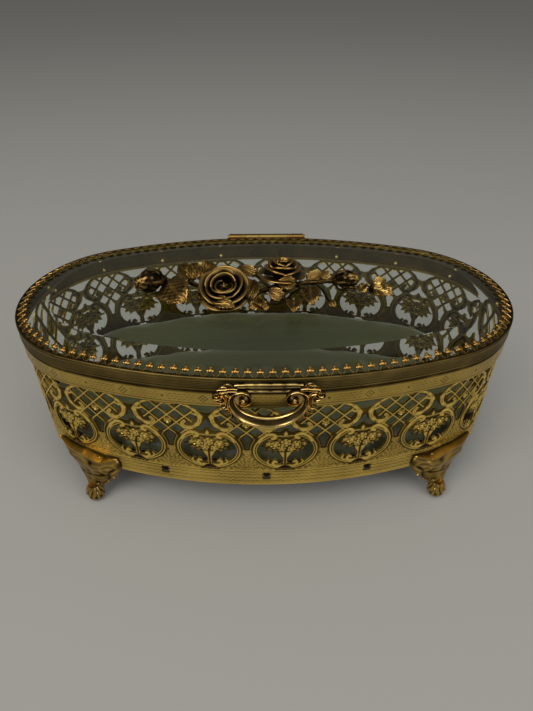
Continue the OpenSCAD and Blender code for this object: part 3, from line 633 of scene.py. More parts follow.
def hoop():
    """The engraved hoop: edge lines, dashes, and dots over every panel axis."""
    n, m = 2400, 34
    s = (np.arange(n) + 0.5) * PERIMETER / n
    S, Z = np.meshgrid(s, np.linspace(Z_HOOP, Z_HOOP_TOP, m), indexing="ij")
    t = np.mod(S + SIDE_LEN / 2, HALF)
    on_side = t < SIDE_LEN
    pitch = np.where(on_side, LONG_PITCH, END_PITCH)
    along = np.where(on_side, t - SIDE_LEN / 2 - URN_SHIFT, t - SIDE_LEN - END_LEN / 2 - END_SHIFT)
    u = np.mod(along + pitch / 2, pitch) - pitch / 2
    mid = (Z_HOOP + Z_HOOP_TOP) / 2
    h = np.full(S.shape, 0.80)
    for line in (Z_HOOP + 1.5, Z_HOOP_TOP - 1.2):
        h = np.minimum(h, 1 - 0.85 * bell(Z - line, 0.2))
    h = np.maximum(h, Z < Z_HOOP + 0.9)
    k = np.floor(S / 2.1)
    jit = np.sin(k * 12.9898) * 0.5 + np.sin(k * 4.17) * 0.3
    far = (np.abs(u) > 3.4) & (np.abs(np.abs(u) - pitch / 2) > 1.7)
    for row, lean in ((mid + 1.45, 0.35), (mid + 0.1, -0.35), (mid - 1.35, 0.35)):
        x = np.mod(S + row * 0.7, 2.1) - 1.05
        d = np.hypot(np.clip(np.abs(x) - 0.66, 0, None), Z - row - jit * 0.22 - lean * x)
        h = np.where(far, np.minimum(h, 1 - (0.72 + 0.25 * jit) * bell(d, 0.2)), h)
    for x0, y0 in ((0, 1.7), (0, -1.7), (1.7, 0), (-1.7, 0), (0.9, 0.9), (-0.9, 0.9), (0.9, -0.9), (-0.9, -0.9),
                   (0, 0)):
        h = np.minimum(h, 1 - 0.95 * bell(np.hypot(u - x0, Z - mid - y0), 0.46))
    h = np.minimum(h, 1 - bell(np.hypot(np.abs(u) - pitch / 2, Z - mid), 0.62))
    # Painted shadow: the lowest and highest rows get no relief, so dark shade lines show along the hoop's edges
    h = np.where((Z < Z_HOOP + 0.32) | (Z > Z_HOOP_TOP - 0.85), 0.0, h)
    off = -0.42 + h * 0.17 - np.where(Z > Z_HOOP_TOP - 0.3, 0.25, 0) - np.where(Z < Z_HOOP + 0.3, 0.15, 0)
    rows = [(off[:, j], Z[:, j]) for j in range(m)] + [(-1.18, Z_HOOP_TOP - 0.02), (-1.18, Z_HOOP + 0.02)]
    v = np.stack([np.c_[oval_at(s, o)[0], np.broadcast_to(z, n)] for o, z in rows], 1).reshape(-1, 3)
    relief = np.concatenate([h, np.full((n, 2), 0.38)], 1).ravel()
    part = Build()
    part.add((v, grid_faces(n, m + 2, wrap_n=True, wrap_m=True), relief))
    part.piece("engraved_hoop", HOOP, "base", "stamped_brass", ("top_hoop",), 60)
    # The punched dots show inside as small polished bosses
    dots = Build()
    for quarter, (length, step, shift, _) in enumerate(PANELS.values()):
        count = int(length // step) + 1
        for i in range(-count, count + 1):
            along = shift + (i + 0.5) * step
            if abs(along) < length / 2 - 0.5:
                p = station(quarter * HALF / 2 + along, DOT_OFF)[0]
                dots.add(ball((*p, mid - DOT_DROP), DOT_R, 10, 16))
    dots.piece("hoop_inner_dots", POLISHED, "base", "stamped_brass", ("top_hoop",), 60)


hoop()


def ring_piece(name, rows, nodes, n, angle):
    """A dark ring of the lid from rows of (off, z, relief)."""
    part = Build()
    part.add(sweep([row[:2] for row in rows], n), np.tile([row[2] for row in rows], n))
    part.piece(name, DARK, "lid", "dark_brass", nodes, angle)


# The inner faces of the band and the ledge under the glass get a middling relief, a painted light that lightens them
# where the glass shows them
BAND = [(-0.40, 80.8, 0.0), (-0.25, 81.05, 0.0), (-0.02, 81.4, 0.6), (-0.08, 81.7, 0.6), (-0.34, 81.95, 0.0),
        (-0.34, 82.1, 0.0), (-0.16, 82.35, 0.5), (-0.18, 82.75, 0.42), (-0.36, 82.95, 0.0), (-0.16, 83.2, 0.45),
        (-0.18, 83.6, 0.36), (-0.38, 83.8, 0.0), (-0.15, 84.05, 0.5), (-0.17, 84.45, 0.4), (-0.38, 84.65, 0.0),
        (-0.15, 84.9, 0.5), (-0.17, 85.3, 0.4), (-0.38, 85.5, 0.0), (-0.1, 85.8, 0.55), (-0.04, 86.2, 0.65),
        (-0.1, 86.6, 0.45), (-0.3, 86.95, 0.2), (-0.6, 87.2, 0.05), (-1.1, 87.2, 0.2), (-1.15, 84.65, 0.7),
        (-4.4, 84.6, 0.5), (-4.5, 84.5, 0.6), (-4.5, 83.7, 0.6), (-4.4, 83.6, 0.5), (-1.25, 83.55, 0.4),
        (-1.15, 83.4, 0.4), (-1.15, 80.9, 0.4)]
STRIP = [(-0.15, 87.15, 0.1), (-0.1, 87.45, 0.35), (-0.35, 87.75, 0.3), (-0.8, 87.85, 0.0), (-1.45, 87.7, 0.0),
         (-1.5, 87.15, 0.1)]
ring_piece("ridged_lid_band", BAND, ("lid_rim",), 900, 70)
ring_piece("prong_strip", STRIP, (), 720, 40)
PRONGS, PRONG_LEAN, PRONG_DEPTH = 118, math.radians(73), 0.62


def gallery():
    """The prongs: each has two splayed legs and a three-lobed tip, bent in over the glass."""
    shapes = []
    for m in (-1, 1):
        leg = spline([(2.25 * m, 0, 0.3), (1.75 * m, 0, 1.1), (1.05 * m, 0, 2.1), (0.55 * m, 0, 3.1)], 8)
        shapes.append((*tube(leg, np.linspace(0.22, 0.26, 8), 6, up=(0, 1, 0)), 0.9))
    for x, z, r, wide in ((0, 3.5, 1.15, 1.0), (-1.0, 3.3, 0.82, 1.0), (1.0, 3.3, 0.82, 1.0), (0, 4.45, 1.0, 0.95)):
        v, f = ball((0, 0, 0), r, 7, 10, (wide, PRONG_DEPTH, 1.0))
        # Painted light: the upper face of each head is bright and its underside over the glass dark, as light and shade
        # would fall
        bright = unit(0.15 + 1.1 * (v[:, 1] < 0.05) * (np.abs(v[:, 1]) / (PRONG_DEPTH * r)))
        shapes.append((v + (x, -0.1, z), f, bright))
    part = Build()
    cos, sin = math.cos(PRONG_LEAN), math.sin(PRONG_LEAN)
    for i in range(PRONGS):
        p, tan, nrm = station((i + 0.5) * PERIMETER / PRONGS, -0.75)
        grow = 1 + 0.05 * math.sin(i * 2.3)

        def put(v):
            y, z = -v[:, 1], v[:, 2] * grow
            out = y * cos - z * sin
            return np.c_[p + v[:, :1] * tan + out[:, None] * nrm, 87.45 + z * cos + y * sin]

        for shape in shapes:
            part.add(shape, put=put)
    part.piece("prong_gallery", BRIGHT, "lid", "bright_brass", ("lid_gallery",), 50)


gallery()

# The glass: (off, z) of its ledge, edge, bevel and flat top; its bores are cut with exact booleans
GLASS_RINGS = [(-4.6, Z_GLASS), (-1.7, Z_GLASS), (-1.5, Z_GLASS + 0.25), (-1.5, Z_GLASS + 2.0), (-1.7, Z_GLASS + 2.2),
               (-15.7, Z_GLASS_TOP - 0.05), (-16.3, Z_GLASS_TOP)]
BORE_R, GLASS_ANGLE = 1.9, 4


def evaluated_mesh(ob):
    return bpy.data.meshes.new_from_object(ob.evaluated_get(bpy.context.evaluated_depsgraph_get()))


def glass():
    """The bevelled glass, ground flat on top and bored for the two studs."""
    ob = add_mesh("bevelled_glass", *sweep(GLASS_RINGS, 360, closed=False), GLASS, "lid", "glass", ("lid_glass",),
                  angle=GLASS_ANGLE)
    cutters = []
    for x, y in STUDS:
        shape = tube([(x, y, Z_GLASS - 2), (x, y, Z_GLASS_TOP + 2)], BORE_R, 32, up=(0, 1, 0))
        cutters.append(new_object("bore", new_mesh("bore", *shape)))
        mod = ob.modifiers.new("bore", "BOOLEAN")
        mod.object = cutters[-1]
        mod.solver = "EXACT"
    done = evaluated_mesh(ob)
    ob.modifiers.clear()
    ob.data = done
    done.set_sharp_from_angle(angle=math.radians(GLASS_ANGLE))
    for cutter in cutters:
        bpy.data.objects.remove(cutter)


glass()

# The pull: x from its own middle, y outwards from the band, z up

PULL_X, PULL_Y = FIT_X - 0.7, -68.0
BOW_Z, EYE_X, BAR_HALF = 80.6, 10.4, 13.6
# Sections as rows of (across, out, relief); the lipped one is in half widths and depths
# In the lipped section the middle of the channel has almost no relief, a painted shade that darkens the hollow of the
# bow
LIP = [(-1.0, 0.1, 0.5), (-0.96, 0.75, 1.0), (-0.8, 0.95, 1.0), (-0.62, 0.6, 0.55), (-0.35, 0.05, 0.12),
       (0.05, -0.1, 0.0), (0.38, 0.2, 0.12), (0.56, 0.95, 0.9), (0.74, 1.3, 1.0), (0.92, 1.1, 0.95), (1.0, 0.4, 0.6),
       (1.0, -0.9, 0.2), (0.0, -1.25, 0.1), (-1.0, -0.9, 0.2)]
BAR = [(-2.3, 0.0, 0.3), (-2.3, 0.55, 0.9), (-1.9, 0.9, 1.0), (-1.5, 0.6, 0.6), (-1.2, 0.1, 0.0), (-0.6, 0.1, 0.0),
       (-0.3, 0.5, 0.6), (0.1, 0.75, 0.9), (0.5, 0.45, 0.4), (0.8, 0.15, 0.0), (1.1, 0.4, 0.4), (1.5, 1.0, 1.0),
       (1.9, 0.9, 1.0), (2.1, 0.4, 0.6), (2.1, -1.2, 0.2), (-2.3, -1.2, 0.2)]
SIDE_LEAVES = [
    ([(-19.6, 81.5), (-17.6, 80.2), (-16.9, 77.2), (-17.6, 74.6), (-19.8, 74.6)], 1.15),
    ([(-18.2, 82.6), (-16.6, 80.0), (-16.2, 76.0), (-16.2, 72.6), (-18.4, 71.4)], 1.1),
    ([(-16.8, 78.0), (-15.9, 74.0), (-15.0, 70.6), (-15.9, 68.4)], 0.95),
    ([(-15.8, 74.0), (-14.0, 70.0), (-12.2, 67.2), (-11.8, 65.6)], 0.8),
    ([(-21.6, 78.6), (-19.4, 77.6), (-18.2, 79.4)], 0.8),
    ([(-16.6, 84.0), (-18.2, 85.4), (-20.4, 84.6)], 0.75),
    ([(-14.8, 84.9), (-16.2, 86.7), (-18.2, 86.6)], 0.65),
]


def pull_place(v):
    v = np.asarray(v, float)
    return np.c_[v[:, 0] + PULL_X, PULL_Y - v[:, 1], v[:, 2]]


def channel(path, width, depth, lift):
    """A lipped strip along a path in the xz plane."""
    p = np.asarray(path, float)
    t = np.gradient(p, axis=0)
    t /= np.linalg.norm(t, axis=1)[:, None] + 1e-9
    across_path = np.c_[t[:, 1], -t[:, 0]]
    v = []
    for across, out, _ in LIP:
        q = p + across_path * (width * across)[:, None]
        v.append(np.c_[q[:, 0], out * depth + np.broadcast_to(lift, len(p)), q[:, 1]])
    return np.stack(v, 1).reshape(-1, 3), capped_faces(len(p), len(LIP)), np.tile([row[2] for row in LIP], len(p))


def along(n, knots, values):
    return np.interp(np.linspace(0, 1, n), knots, values)


def pull():
    part = Build()
    # Bow with volutes: the left half is drawn and mirrored
    t = np.radians(np.linspace(-250, 180, 60))
    r = 0.7 + 3.9 * np.linspace(0, 1, 60) ** 1.2
    a = np.radians(np.linspace(180, 270, 40))[1:]
    half = np.vstack([np.c_[-EYE_X + r * np.cos(t), BOW_Z + r * np.sin(t)],
                      np.c_[15.0 * np.cos(a), BOW_Z + 12.4 * np.sin(a)]])
    w = along(len(half), [0, 0.2, 0.55, 0.7, 0.85, 1], [0.42, 0.62, 0.95, 1.6, 2.6, 3.1])
    lift = along(len(half), [0, 0.3, 0.6, 0.85, 1], [1.4, 0.9, 0.5, 0.9, 1.3])
    both = np.vstack([half, (half * (-1, 1))[::-1][1:]])
    part.add(channel(both, np.r_[w, w[::-1][1:]], 1.0, np.r_[lift, lift[::-1][1:]]), put=pull_place)
    for m in (-1, 1):
        v, f = ball((m * EYE_X, 1.5, BOW_Z), 0.85, 10, 16, (1, 0.9, 1))
        part.add((v, f, unit((v[:, 1] - 1.2) / 0.9)), put=pull_place)
        part.add(tube(pull_place([(m * EYE_X, -0.6, BOW_Z), (m * EYE_X, 0.5, BOW_Z)]), 3.5, 24), 0.72)
        # Shoulder scroll, then leaves down the side of the bow
        t = np.radians(np.linspace(-230, 60, 40))
        r = np.linspace(0.6, 2.5, 40)
        curl = np.c_[-21.2 + r * np.cos(t), 82.8 + r * np.sin(t)]
        tail = spline([tuple(curl[-1]), (-17.4, 85.2), (-15.2, 85.6), (-12.6, 85.4)], 14)
        shoulder = np.vstack([curl, tail[1:]])
        strips = [(shoulder, along(len(shoulder), [0, 0.4, 0.75, 1], [0.4, 0.75, 1.0, 0.7]), 0.8, 0.2)]
        strips += [(spline(pts, 16) + (0.4, 1.5), w * along(16, [0, 0.3, 0.7, 1], [0.5, 1.0, 0.95, 0.25]), 0.75, 0.05)
                   for pts, w in SIDE_LEAVES]
        for line, w, depth, lift in strips:
            v, f, rel = channel(line * (-m, 1), w, depth, lift)
            part.add((v, f if m < 0 else flipped(f), rel), put=pull_place)
    # Top bar, with a rope line, over the band
    x = np.linspace(-BAR_HALF, BAR_HALF, 120)
    bend = -0.0018 * x ** 2 - 0.9
    swell = 1 - 0.25 * (np.abs(x) / BAR_HALF) ** 4
    v = [np.c_[x, out + bend + 0.03 * np.sin(x * 1.7) * (out > 0.5), 85.6 + up * swell] for up, out, _ in BAR]
    rel = [unit(r - 0.25 * unit(np.sin(x * 1.1 + 1)) * (r > 0.5)) for _, _, r in BAR]
    part.add((np.stack(v, 1).reshape(-1, 3), flipped(capped_faces(len(x), len(BAR))), np.stack(rel, 1).ravel()),
             put=pull_place)
    part.piece("scroll_pull", ANTIQUE, "lid", "antique_brass", ("front_pull",), 60)


pull()

# The hinge's outer leaf: its face from LEAF_Z up to the axis, y from the oval's side, and the barrel's radius
LEAF_Z, AXIS_Z, LEAF_HALF = 72.4, 86.6, 13.25
FACE_Y, BACK_Y, AXIS_Y, BARREL_R = 4.55, 3.55, 2.35, 2.2


def hinge_plate():
    """The outer hinge leaf with its middle knuckles: engraved border, rosettes, a stem and two rings."""
    face_z = np.linspace(LEAF_Z, AXIS_Z, 60)
    ang = np.radians(np.linspace(0, 302, 44))[1:]
    loop = [(FACE_Y, z) for z in face_z]
    loop += [(AXIS_Y + BARREL_R * math.cos(t), AXIS_Z + BARREL_R * math.sin(t)) for t in ang]
    loop += [(BACK_Y, 80.2), (BACK_Y - 0.2, 79.9), (-0.35, 79.9), (-0.35, LEAF_Z)]
    loop = np.array(loop)
    X, Z = np.meshgrid(np.linspace(-LEAF_HALF, LEAF_HALF, 150), loop[:, 1], indexing="ij")
    ax = np.abs(X)
    on_face = np.arange(len(loop))[None, :] < len(face_z)
    edge = union([LEAF_HALF - ax, Z - LEAF_Z, 85.4 - Z])
    groove = bell(edge - 1.3, 0.22) + 0.7 * bell(edge - 2.1, 0.16) * (np.mod(X + Z, 1.1) < 0.7)
    flower = np.maximum(rosette(X, Z, 0, 79.0, 3.2, 6), 0.8 * rosette(ax, Z, 6.4, 79.6, 1.9, 5))
    ring = bell(np.hypot(ax - 8.0, Z - 75.0) - 2.3, 0.25)
    stem = bell(Z - 79.0 - 0.9 * np.sin(ax * 0.9), 0.28) * (ax > 3) * (ax < 10.6)
    face = unit(0.62 - 0.62 * groove - 0.5 * ring + 0.38 * flower + 0.3 * stem)
    barrel = unit(0.85 - 0.8 * (bell(ax - LEAF_HALF + 0.9, 0.16) + bell(ax - LEAF_HALF / 3, 0.16)))
    h = np.where(on_face, face, barrel)
    y = B + loop[None, :, 0] - np.where(on_face, 0.22 * (1 - h), 0)
    part = Build()
    part.add((np.stack([X + FIT_X, y, Z], -1).reshape(-1, 3), capped_faces(*X.shape), h.ravel()))
    part.piece("hinge_plate", DARK, "base", "antique_brass", ("hinge_body_leaf",), 50)


hinge_plate()


# The spray on the glass

def sheet_grid(fn, n, m, thick):
    """A closed thin shell from fn(a, b) -> (points, relief) over the unit square."""
    a, b = np.meshgrid(np.linspace(0, 1, n), np.linspace(0, 1, m), indexing="ij")
    p, rel = fn(a, b)
    nrm = np.cross(np.gradient(p, axis=0), np.gradient(p, axis=1))
    nrm /= np.linalg.norm(nrm, axis=-1)[..., None] + 1e-9
    q = np.array(grid_faces(n, m))
    faces = q.tolist() + (q[:, ::-1] + n * m).tolist() + edge_faces(n, m)
    v = np.concatenate([p.reshape(-1, 3), (p - nrm * thick).reshape(-1, 3)])
    return v, faces, np.concatenate([rel.ravel(), np.full(n * m, 0.12)])


def leaf(part, base, tip, width, look, cup, bow, teeth, wave):
    """A serrated, veined leaf from its base to its tip; look is about the way its face looks."""
    base, face = np.asarray(base, float), np.asarray(look, float)
    axis = np.asarray(tip, float) - base
    length = np.linalg.norm(axis)
    axis /= length
    face = face - axis * face.dot(axis)
    face /= np.linalg.norm(face)
    side = np.cross(face, axis)

    def surface(a, b):
        x = b * 2 - 1
        saw = np.abs(np.mod(a * teeth + 0.15, 1) - 0.65)
        w = width / 2 * np.sin(math.pi * unit(a * 0.94 + 0.05) ** 0.72) ** 0.75
        w = w * (1 - 0.30 * saw * unit(np.sin(math.pi * a) * 3))
        forward = a * length + np.abs(x) * w * 0.25
        h = cup * np.abs(x) ** 1.3 * w + bow * length * (4 * a * (1 - a)) * 0.5
        h = h + wave * np.sin(a * 9 + x * 2) * w * 0.15
        rib = bell(x, 0.09)
        groove = bell(np.abs(np.mod(a * 6.5 - np.abs(x) * 1.6 + 0.5, 1) - 0.5), 0.10) * (1 - rib)
        crinkle = np.sin(a * 31 + x * 9) * np.sin(x * 23 - a * 17)
        h = h + 0.30 * rib * (1 - a) - 0.14 * groove * np.clip(1 - a, 0.2, 1) + 0.16 * crinkle
        rel = unit(0.56 - 0.26 * groove + 0.30 * rib + 0.24 * crinkle + 1.3 * unit(np.abs(x) - 0.70))
        p = base + forward[..., None] * 0.93 * axis + (x * w)[..., None] * side + h[..., None] * face
        return p, rel * (1 - 0.5 * unit(1 - a * 6))

    fine = 1.5 if width > 12 else 1.0
    part.add(sheet_grid(surface, int(34 * fine), int(17 * fine), 0.55))


def placer(centre, axis):
    """A function that turns +z to the axis and moves the origin to the centre."""
    rot = np.array(Vector((0, 0, 1)).rotation_difference(Vector(axis)).to_matrix())
    return lambda p: p @ rot.T + np.asarray(centre, float)


def petal(part, put, mid, span, r0, z0, r1, z1, roll, lip):
    """A curved petal round the flower's own axis, with a thick rolled rim."""
    def surface(a, b):
        x = b * 2 - 1
        ang = mid + x * span / 2
        over = unit(a - 0.78) / 0.22
        r = r0 + (r1 - r0) * a ** 0.55 + roll * over ** 2 - 0.35 * np.abs(x) ** 4
        r = r * (1 + 0.03 * np.sin(ang * 3 + mid * 2))
        z = z0 + (z1 - z0) * (1 - 0.25 * np.abs(x) ** 3) * a ** 1.25 - 0.45 * roll * over ** 3
        # The petal darkens towards its base deep in the flower, painted shade with patina, and is bright at its rim
        rel = unit(a ** 2.2 * 1.05 - 0.12 + 0.08 * np.sin(x * 9 + mid))
        return np.stack([r * np.cos(ang), r * np.sin(ang), z], -1), rel

    v, f, rel = sheet_grid(surface, 14, 22, -0.5)
    rel[len(rel) // 2:] = unit(0.18 + rel[:len(rel) // 2] * 0.7)
    part.add((v, f, rel), put=put)
    b = np.linspace(0.02, 0.98, 26)
    rim = surface(np.ones_like(b), b)[0]
    part.add(tube(rim, lip * (1 - 0.75 * np.abs(b * 2 - 1) ** 5), 8), 1.0, put)


def rose(name, mat, node, centre, axis, rings):
    """A rose of rings of petals: (count, first angle, span, r0, z0, r1, z1, roll, thickness of the rim)."""
    part = Build()
    put = placer(centre, axis)
    for count, start, span, r0, z0, r1, z1, roll, lip in rings:
        for i in range(count):
            petal(part, put, math.radians(start + i * 360 / count), math.radians(span), r0, z0 + 0.12 * i, r1,
                  z1 + 0.25 * math.sin(i * 2.1 + start), roll, lip)
    calyx = [(0, 0, -1.6), (0, 0, -0.4), (0, 0, 1.2), (0, 0, 2.6)]
    part.add(tube(calyx, [2.4, 3.3, 4.4, 3.0], 20, up=(0, 1, 0)), 0.2, put)
    if mat is ROSE:
        for i in range(5):
            ang = i * 2 * math.pi / 5 + 0.4
            x, y = math.cos(ang), math.sin(ang)
            stamen = spline([(0, 0, 2.2), (0.5 * x, 0.5 * y, 3.6), (1.7 * x, 1.7 * y, 4.6)], 8)
            part.add(tube(stamen, np.linspace(0.55, 0.2, 8), 7), 0.85, put)
        part.add(ball((0, 0, 3.9), 0.8, 8, 10), 0.9, put)
    part.piece(name, mat, "lid", "gilt_brass", (node,), 65)


rose("large_cast_rose", ROSE, "large_rose", (-19.3, -6.2, 93.4), Vector((-0.04, -0.36, 0.93)).normalized(), [
    (5, 20, 84, 3.4, 0.2, 11.4, 1.6, 1.0, 0.5),
    (3, 60, 134, 5.0, 0.2, 10.4, 5.2, 1.0, 0.62),
    (3, 0, 134, 4.2, 0.4, 8.1, 6.3, 0.6, 0.55),
    (2, 105, 200, 3.2, 0.6, 5.7, 6.5, 0.4, 0.5),
    (1, 250, 290, 2.2, 0.8, 4.0, 5.0, 0.2, 0.36),
])
rose("half_open_rose", LEAF, "half_rose", (8.4, 6.4, 93.4), (0.06, 0.12, 1.0), [
    (3, 250, 100, 3.0, 0.4, 10.2, 2.6, 1.1, 0.5),
    (3, 215, 128, 3.4, 0.8, 7.6, 6.6, 1.3, 0.5),
    (3, 275, 126, 3.0, 1.2, 5.9, 8.2, 0.9, 0.46),
    (2, 200, 190, 2.0, 2.0, 4.0, 9.3, 0.7, 0.42),
    (2, 290, 190, 1.2, 2.4, 2.3, 9.7, 0.5, 0.36),
])
# Wrapped petals of a bud: first angle, width and height as shares of the bud's
WRAPS = ((0, 1.0, 0.90), (125, 0.97, 0.95), (240, 0.93, 1.0), (60, 0.72, 1.02), (180, 0.66, 1.05), (300, 0.42, 1.06))


def bud(name, node, centre, axis, length, radius):
    """A closed rosebud of wrapped petals, with sepals from its stalk end."""
    part = Build()
    put = placer(centre, axis)
    for start, grow, top in WRAPS:
        def surface(a, b):
            x = b * 2 - 1
            ang = math.radians(start) + x * math.radians(84)
            r = radius * grow * np.sin(math.pi * unit(a * 0.80 + 0.06)) ** 0.8
            fold = np.sin(x * 11 + a * 7 + start) * np.sin(a * 13 - x * 4)
            r = (r * (1 + 0.06 * x) + unit(a - 0.82) * 3) * (1 + 0.05 * fold)
            z = length * top * (a * (1 - 0.06 * np.abs(x) ** 3))
            rel = unit(0.42 + 0.5 * a ** 5 + 0.5 * np.abs(x) ** 8 + 0.45 * fold)
            return np.stack([r * np.cos(ang), r * np.sin(ang), z], -1), rel
        part.add(sheet_grid(surface, 16, 20, -0.4), put=put)
        b = np.linspace(0.03, 0.97, 18)
        part.add(tube(surface(np.ones_like(b), b)[0], 0.32, 7), 1.0, put)
    for i in range(5):
        ang = i * 2 * math.pi / 5 + 0.5
        line = [(radius * k * math.cos(ang), radius * k * math.sin(ang), length * t) for k, t in
                ((0.25, -0.03), (0.86, 0.10), (1.06, 0.32), (1.10, 0.52), (1.22, 0.64))]
        part.add(tube(spline(line, 14), np.linspace(1.25, 0.25, 14) * radius / 4.6, 8, flat=0.5), 0.7, put)
    part.add(ball((0, 0, -0.1), radius * 0.5, scale=(1, 1, 0.8)), 0.5, put)
    part.piece(name, ROSE, "lid", "gilt_brass", (node,), 65)


bud("left_rosebud", "left_bud", (-50.4, 2.8, 94.8), (-0.80, -0.42, 0.10), 12.6, 5.6)
bud("right_rosebud", "right_bud", (34.6, 1.6, 94.4), (0.88, -0.22, 0.22), 10.6, 4.7)

# Leaves: base, tip, width, the way they look, cup, bow, teeth, wave
FRONT, HIGH = (0, -0.72, 0.70), (0, -0.6, 0.8)
LEAVES = {
    "left": [
        ((-47.8, 1.6, 94.6), (-36.6, -17.6, 93.4), 17.5, FRONT, 0.10, 0.20, 11, 0.4),
        ((-35.0, 6.0, 94.0), (-44.6, 17.6, 95.2), 9.0, (-0.2, -0.6, 0.8), 0.25, 0.12, 6, 0),
        ((-33.6, 5.0, 94.2), (-25.8, 19.2, 96.0), 9.4, (0.2, -0.6, 0.8), 0.22, 0.16, 6, 1),
        ((-36.0, 4.0, 94.2), (-34.4, 17.4, 97.0), 8.6, (0, -0.75, 0.65), 0.2, 0.2, 6, 0),
    ],
    "middle": [
        ((1.6, -15.6, 92.9), (-8.4, -21.4, 93.6), 7.6, FRONT, 0.30, 0.25, 7, 2),
        ((8.6, -12.6, 93.0), (1.2, -7.6, 95.2), 6.6, FRONT, 0.20, 0.18, 6, 0),
        ((13.2, -14.6, 93.2), (12.6, -25.8, 93.4), 8.2, FRONT, 0.38, 0.30, 7, 1),
        ((21.2, -4.2, 94.2), (21.6, -20.4, 93.6), 10.2, FRONT, 0.16, 0.20, 9, 1),
        ((15.4, -1.8, 94.6), (5.4, -1.6, 95.6), 7.2, FRONT, 0.22, 0.16, 6, 0),
        ((-8.4, -13.6, 93.4), (-4.6, 0.4, 96.6), 5.8, (0.5, -0.6, 0.6), 0.35, 0.3, 4, 0),
        ((-24.0, -14.0, 93.2), (-13.0, -20.4, 93.2), 6.4, FRONT, 0.3, 0.3, 6, 0),
        ((-29.4, -8.0, 93.0), (-30.6, -12.8, 93.2), 5.6, FRONT, 0.3, 0.12, 4, 0),
        ((20.6, 3.0, 94.4), (29.6, 7.0, 95.6), 6.2, HIGH, 0.25, 0.12, 5, 0),
        ((-4.2, 8.0, 94.4), (-13.0, 14.5, 95.4), 6.4, HIGH, 0.25, 0.12, 5, 0),
    ],
    "right": [
        ((50.2, -4.6, 94.2), (61.4, -11.2, 94.0), 7.4, FRONT, 0.25, 0.25, 7, 1),
        ((52.0, -2.6, 94.4), (59.4, 0.4, 95.6), 5.4, (0, -0.7, 0.7), 0.25, 0.12, 5, 0),
        ((45.4, -2.8, 94.6), (47.4, -10.4, 94.2), 7.0, FRONT, 0.25, 0.25, 6, 1),
        ((29.8, -15.4, 93.2), (32.4, -20.0, 92.8), 3.4, FRONT, 0.3, 0.12, 4, 0),
        ((31.0, 2.0, 94.6), (28.6, 8.4, 96.4), 5.4, (0, -0.7, 0.7), 0.25, 0.12, 5, 0),
    ],
}
for side, rows in LEAVES.items():
    cluster = Build()
    for row in rows:
        leaf(cluster, *row)
    mat, slot = (TIP, "bright_brass") if side == "right" else (LEAF, "gilt_brass")
    cluster.piece(side + "_cast_leaves", mat, "lid", slot, ("leaves_" + side,), 70)

STEMS = [
    ([(-50.5, 3.4, 94.6), (-44, 2.6, 94.0), (-36, 1.8, 93.4), (-28, -3.5, 92.6), (-18.5, -7.5, 92.0), (-11, -8.0, 92.0),
      (-4, -5.2, 92.0), (2.5, -1.4, 92.0), (9.2, 3.5, 92.2), (16, 1.8, 92.8), (24, 1.6, 93.6), (31, 1.6, 94.2),
      (36, 1.4, 94.6)], 1.15),
    ([(35, 1.0, 94.0), (41, -3.2, 93.6), (47, -4.2, 93.6), (52, -4.6, 94.0)], 0.8),
    ([(12.5, 2.2, 92.6), (16.6, -3.0, 93.2), (12.6, -8.4, 93.0), (10.4, -12.0, 92.8), (6.0, -15.8, 92.6),
      (1.0, -15.8, 92.8)], 0.62),
    ([(11.0, -10.8, 92.9), (13.0, -14.8, 93.0)], 0.6),
    ([(16.6, -3.0, 93.2), (21.2, -4.0, 94.0)], 0.6),
    ([(9.6, -12.0, 92.9), (7.8, -12.4, 93.2)], 0.55),
    ([(24.0, 1.4, 93.6), (27.4, -6.0, 93.6), (28.8, -12.0, 93.2), (30.2, -15.8, 93.0)], 0.5),
    ([(-36, 1.8, 93.4), (-35.4, 4.6, 93.8), (-35.0, 6.4, 94.0)], 0.7),
    ([(-42, 2.4, 93.9), (-46.4, 2.4, 94.4), (-48.0, 1.4, 94.6)], 0.7),
    ([(2.5, -1.4, 92.0), (-1.6, 4.0, 93.2), (-4.4, 8.2, 94.2)], 0.6),
]


def branch():
    """Knotted stems on the glass, and the studs that hold them through it."""
    part = Build()
    for pts, r in STEMS:
        line = spline(pts, 10 * len(pts))
        k = np.arange(len(line))
        radii = r * (1 + 0.10 * np.sin(k * 0.9) + 0.14 * (np.mod(k, 17) < 2))
        ridges = 0.5 + 0.35 * np.sin(np.tile(np.arange(10), len(line)) * 2.5 + np.repeat(k, 10) * 0.4)
        part.add(tube(line, radii, 10), ridges)
    for x, y in STUDS:
        heights = (81.0, Z_GLASS_TOP, Z_GLASS_TOP + 0.05, Z_GLASS_TOP + 3.4)
        part.add(tube([(x, y, z) for z in heights], [1.5, 1.5, 3.4, 2.8], 24, up=(0, 1, 0)), 0.5)
    part.add(tube([(9.2, 3.0, 92.2), (9.2, 7.0, 92.4)], 1.3, 10), 0.4)
    part.piece("cast_branch", ROSE, "lid", "gilt_brass", ("spray_branch",), 60)


branch()

# Feet: a leaf bracket on the wall over a curled leg and a ball toe. Across is u from the panels' seam, z is up.
FOOT_Z, FOOT_RISE, TOE_OFF, TOE_R, TOE_FLAT = 5.2, 25.0, 4.2, 4.2, 3.95
TOP_U, TOP_Z = np.array([(-15.2, 24.0), (-14.2, 27.2), (-11.8, 28.6), (-8, 28.2), (-4.6, 27.5), (-1.5, 28.8),
                         (3, 30.3), (8, 30.6), (12, 30.5), (17, 30.6), (20.5, 30.0)]).T
EDGE_IN = [(6, -3.3), (8, -4.0), (9.6, -4.6), (10.4, -6.2), (11.6, -7.6), (12.6, -6.8), (13.4, -8.6), (14.8, -11.0),
           (15.6, -9.9), (16.6, -12.4), (18.5, -13.4), (21, -14.6), (24, -15.2), (28, -14.0), (31, -12)]
EDGE_OUT = [(6, 3.3), (8, 4.2), (10, 5.6), (12, 7.0), (14.5, 9.3), (17, 11.0), (20, 12.6), (23, 15.0), (26, 17.6),
            (29, 20.0), (31, 20.6)]


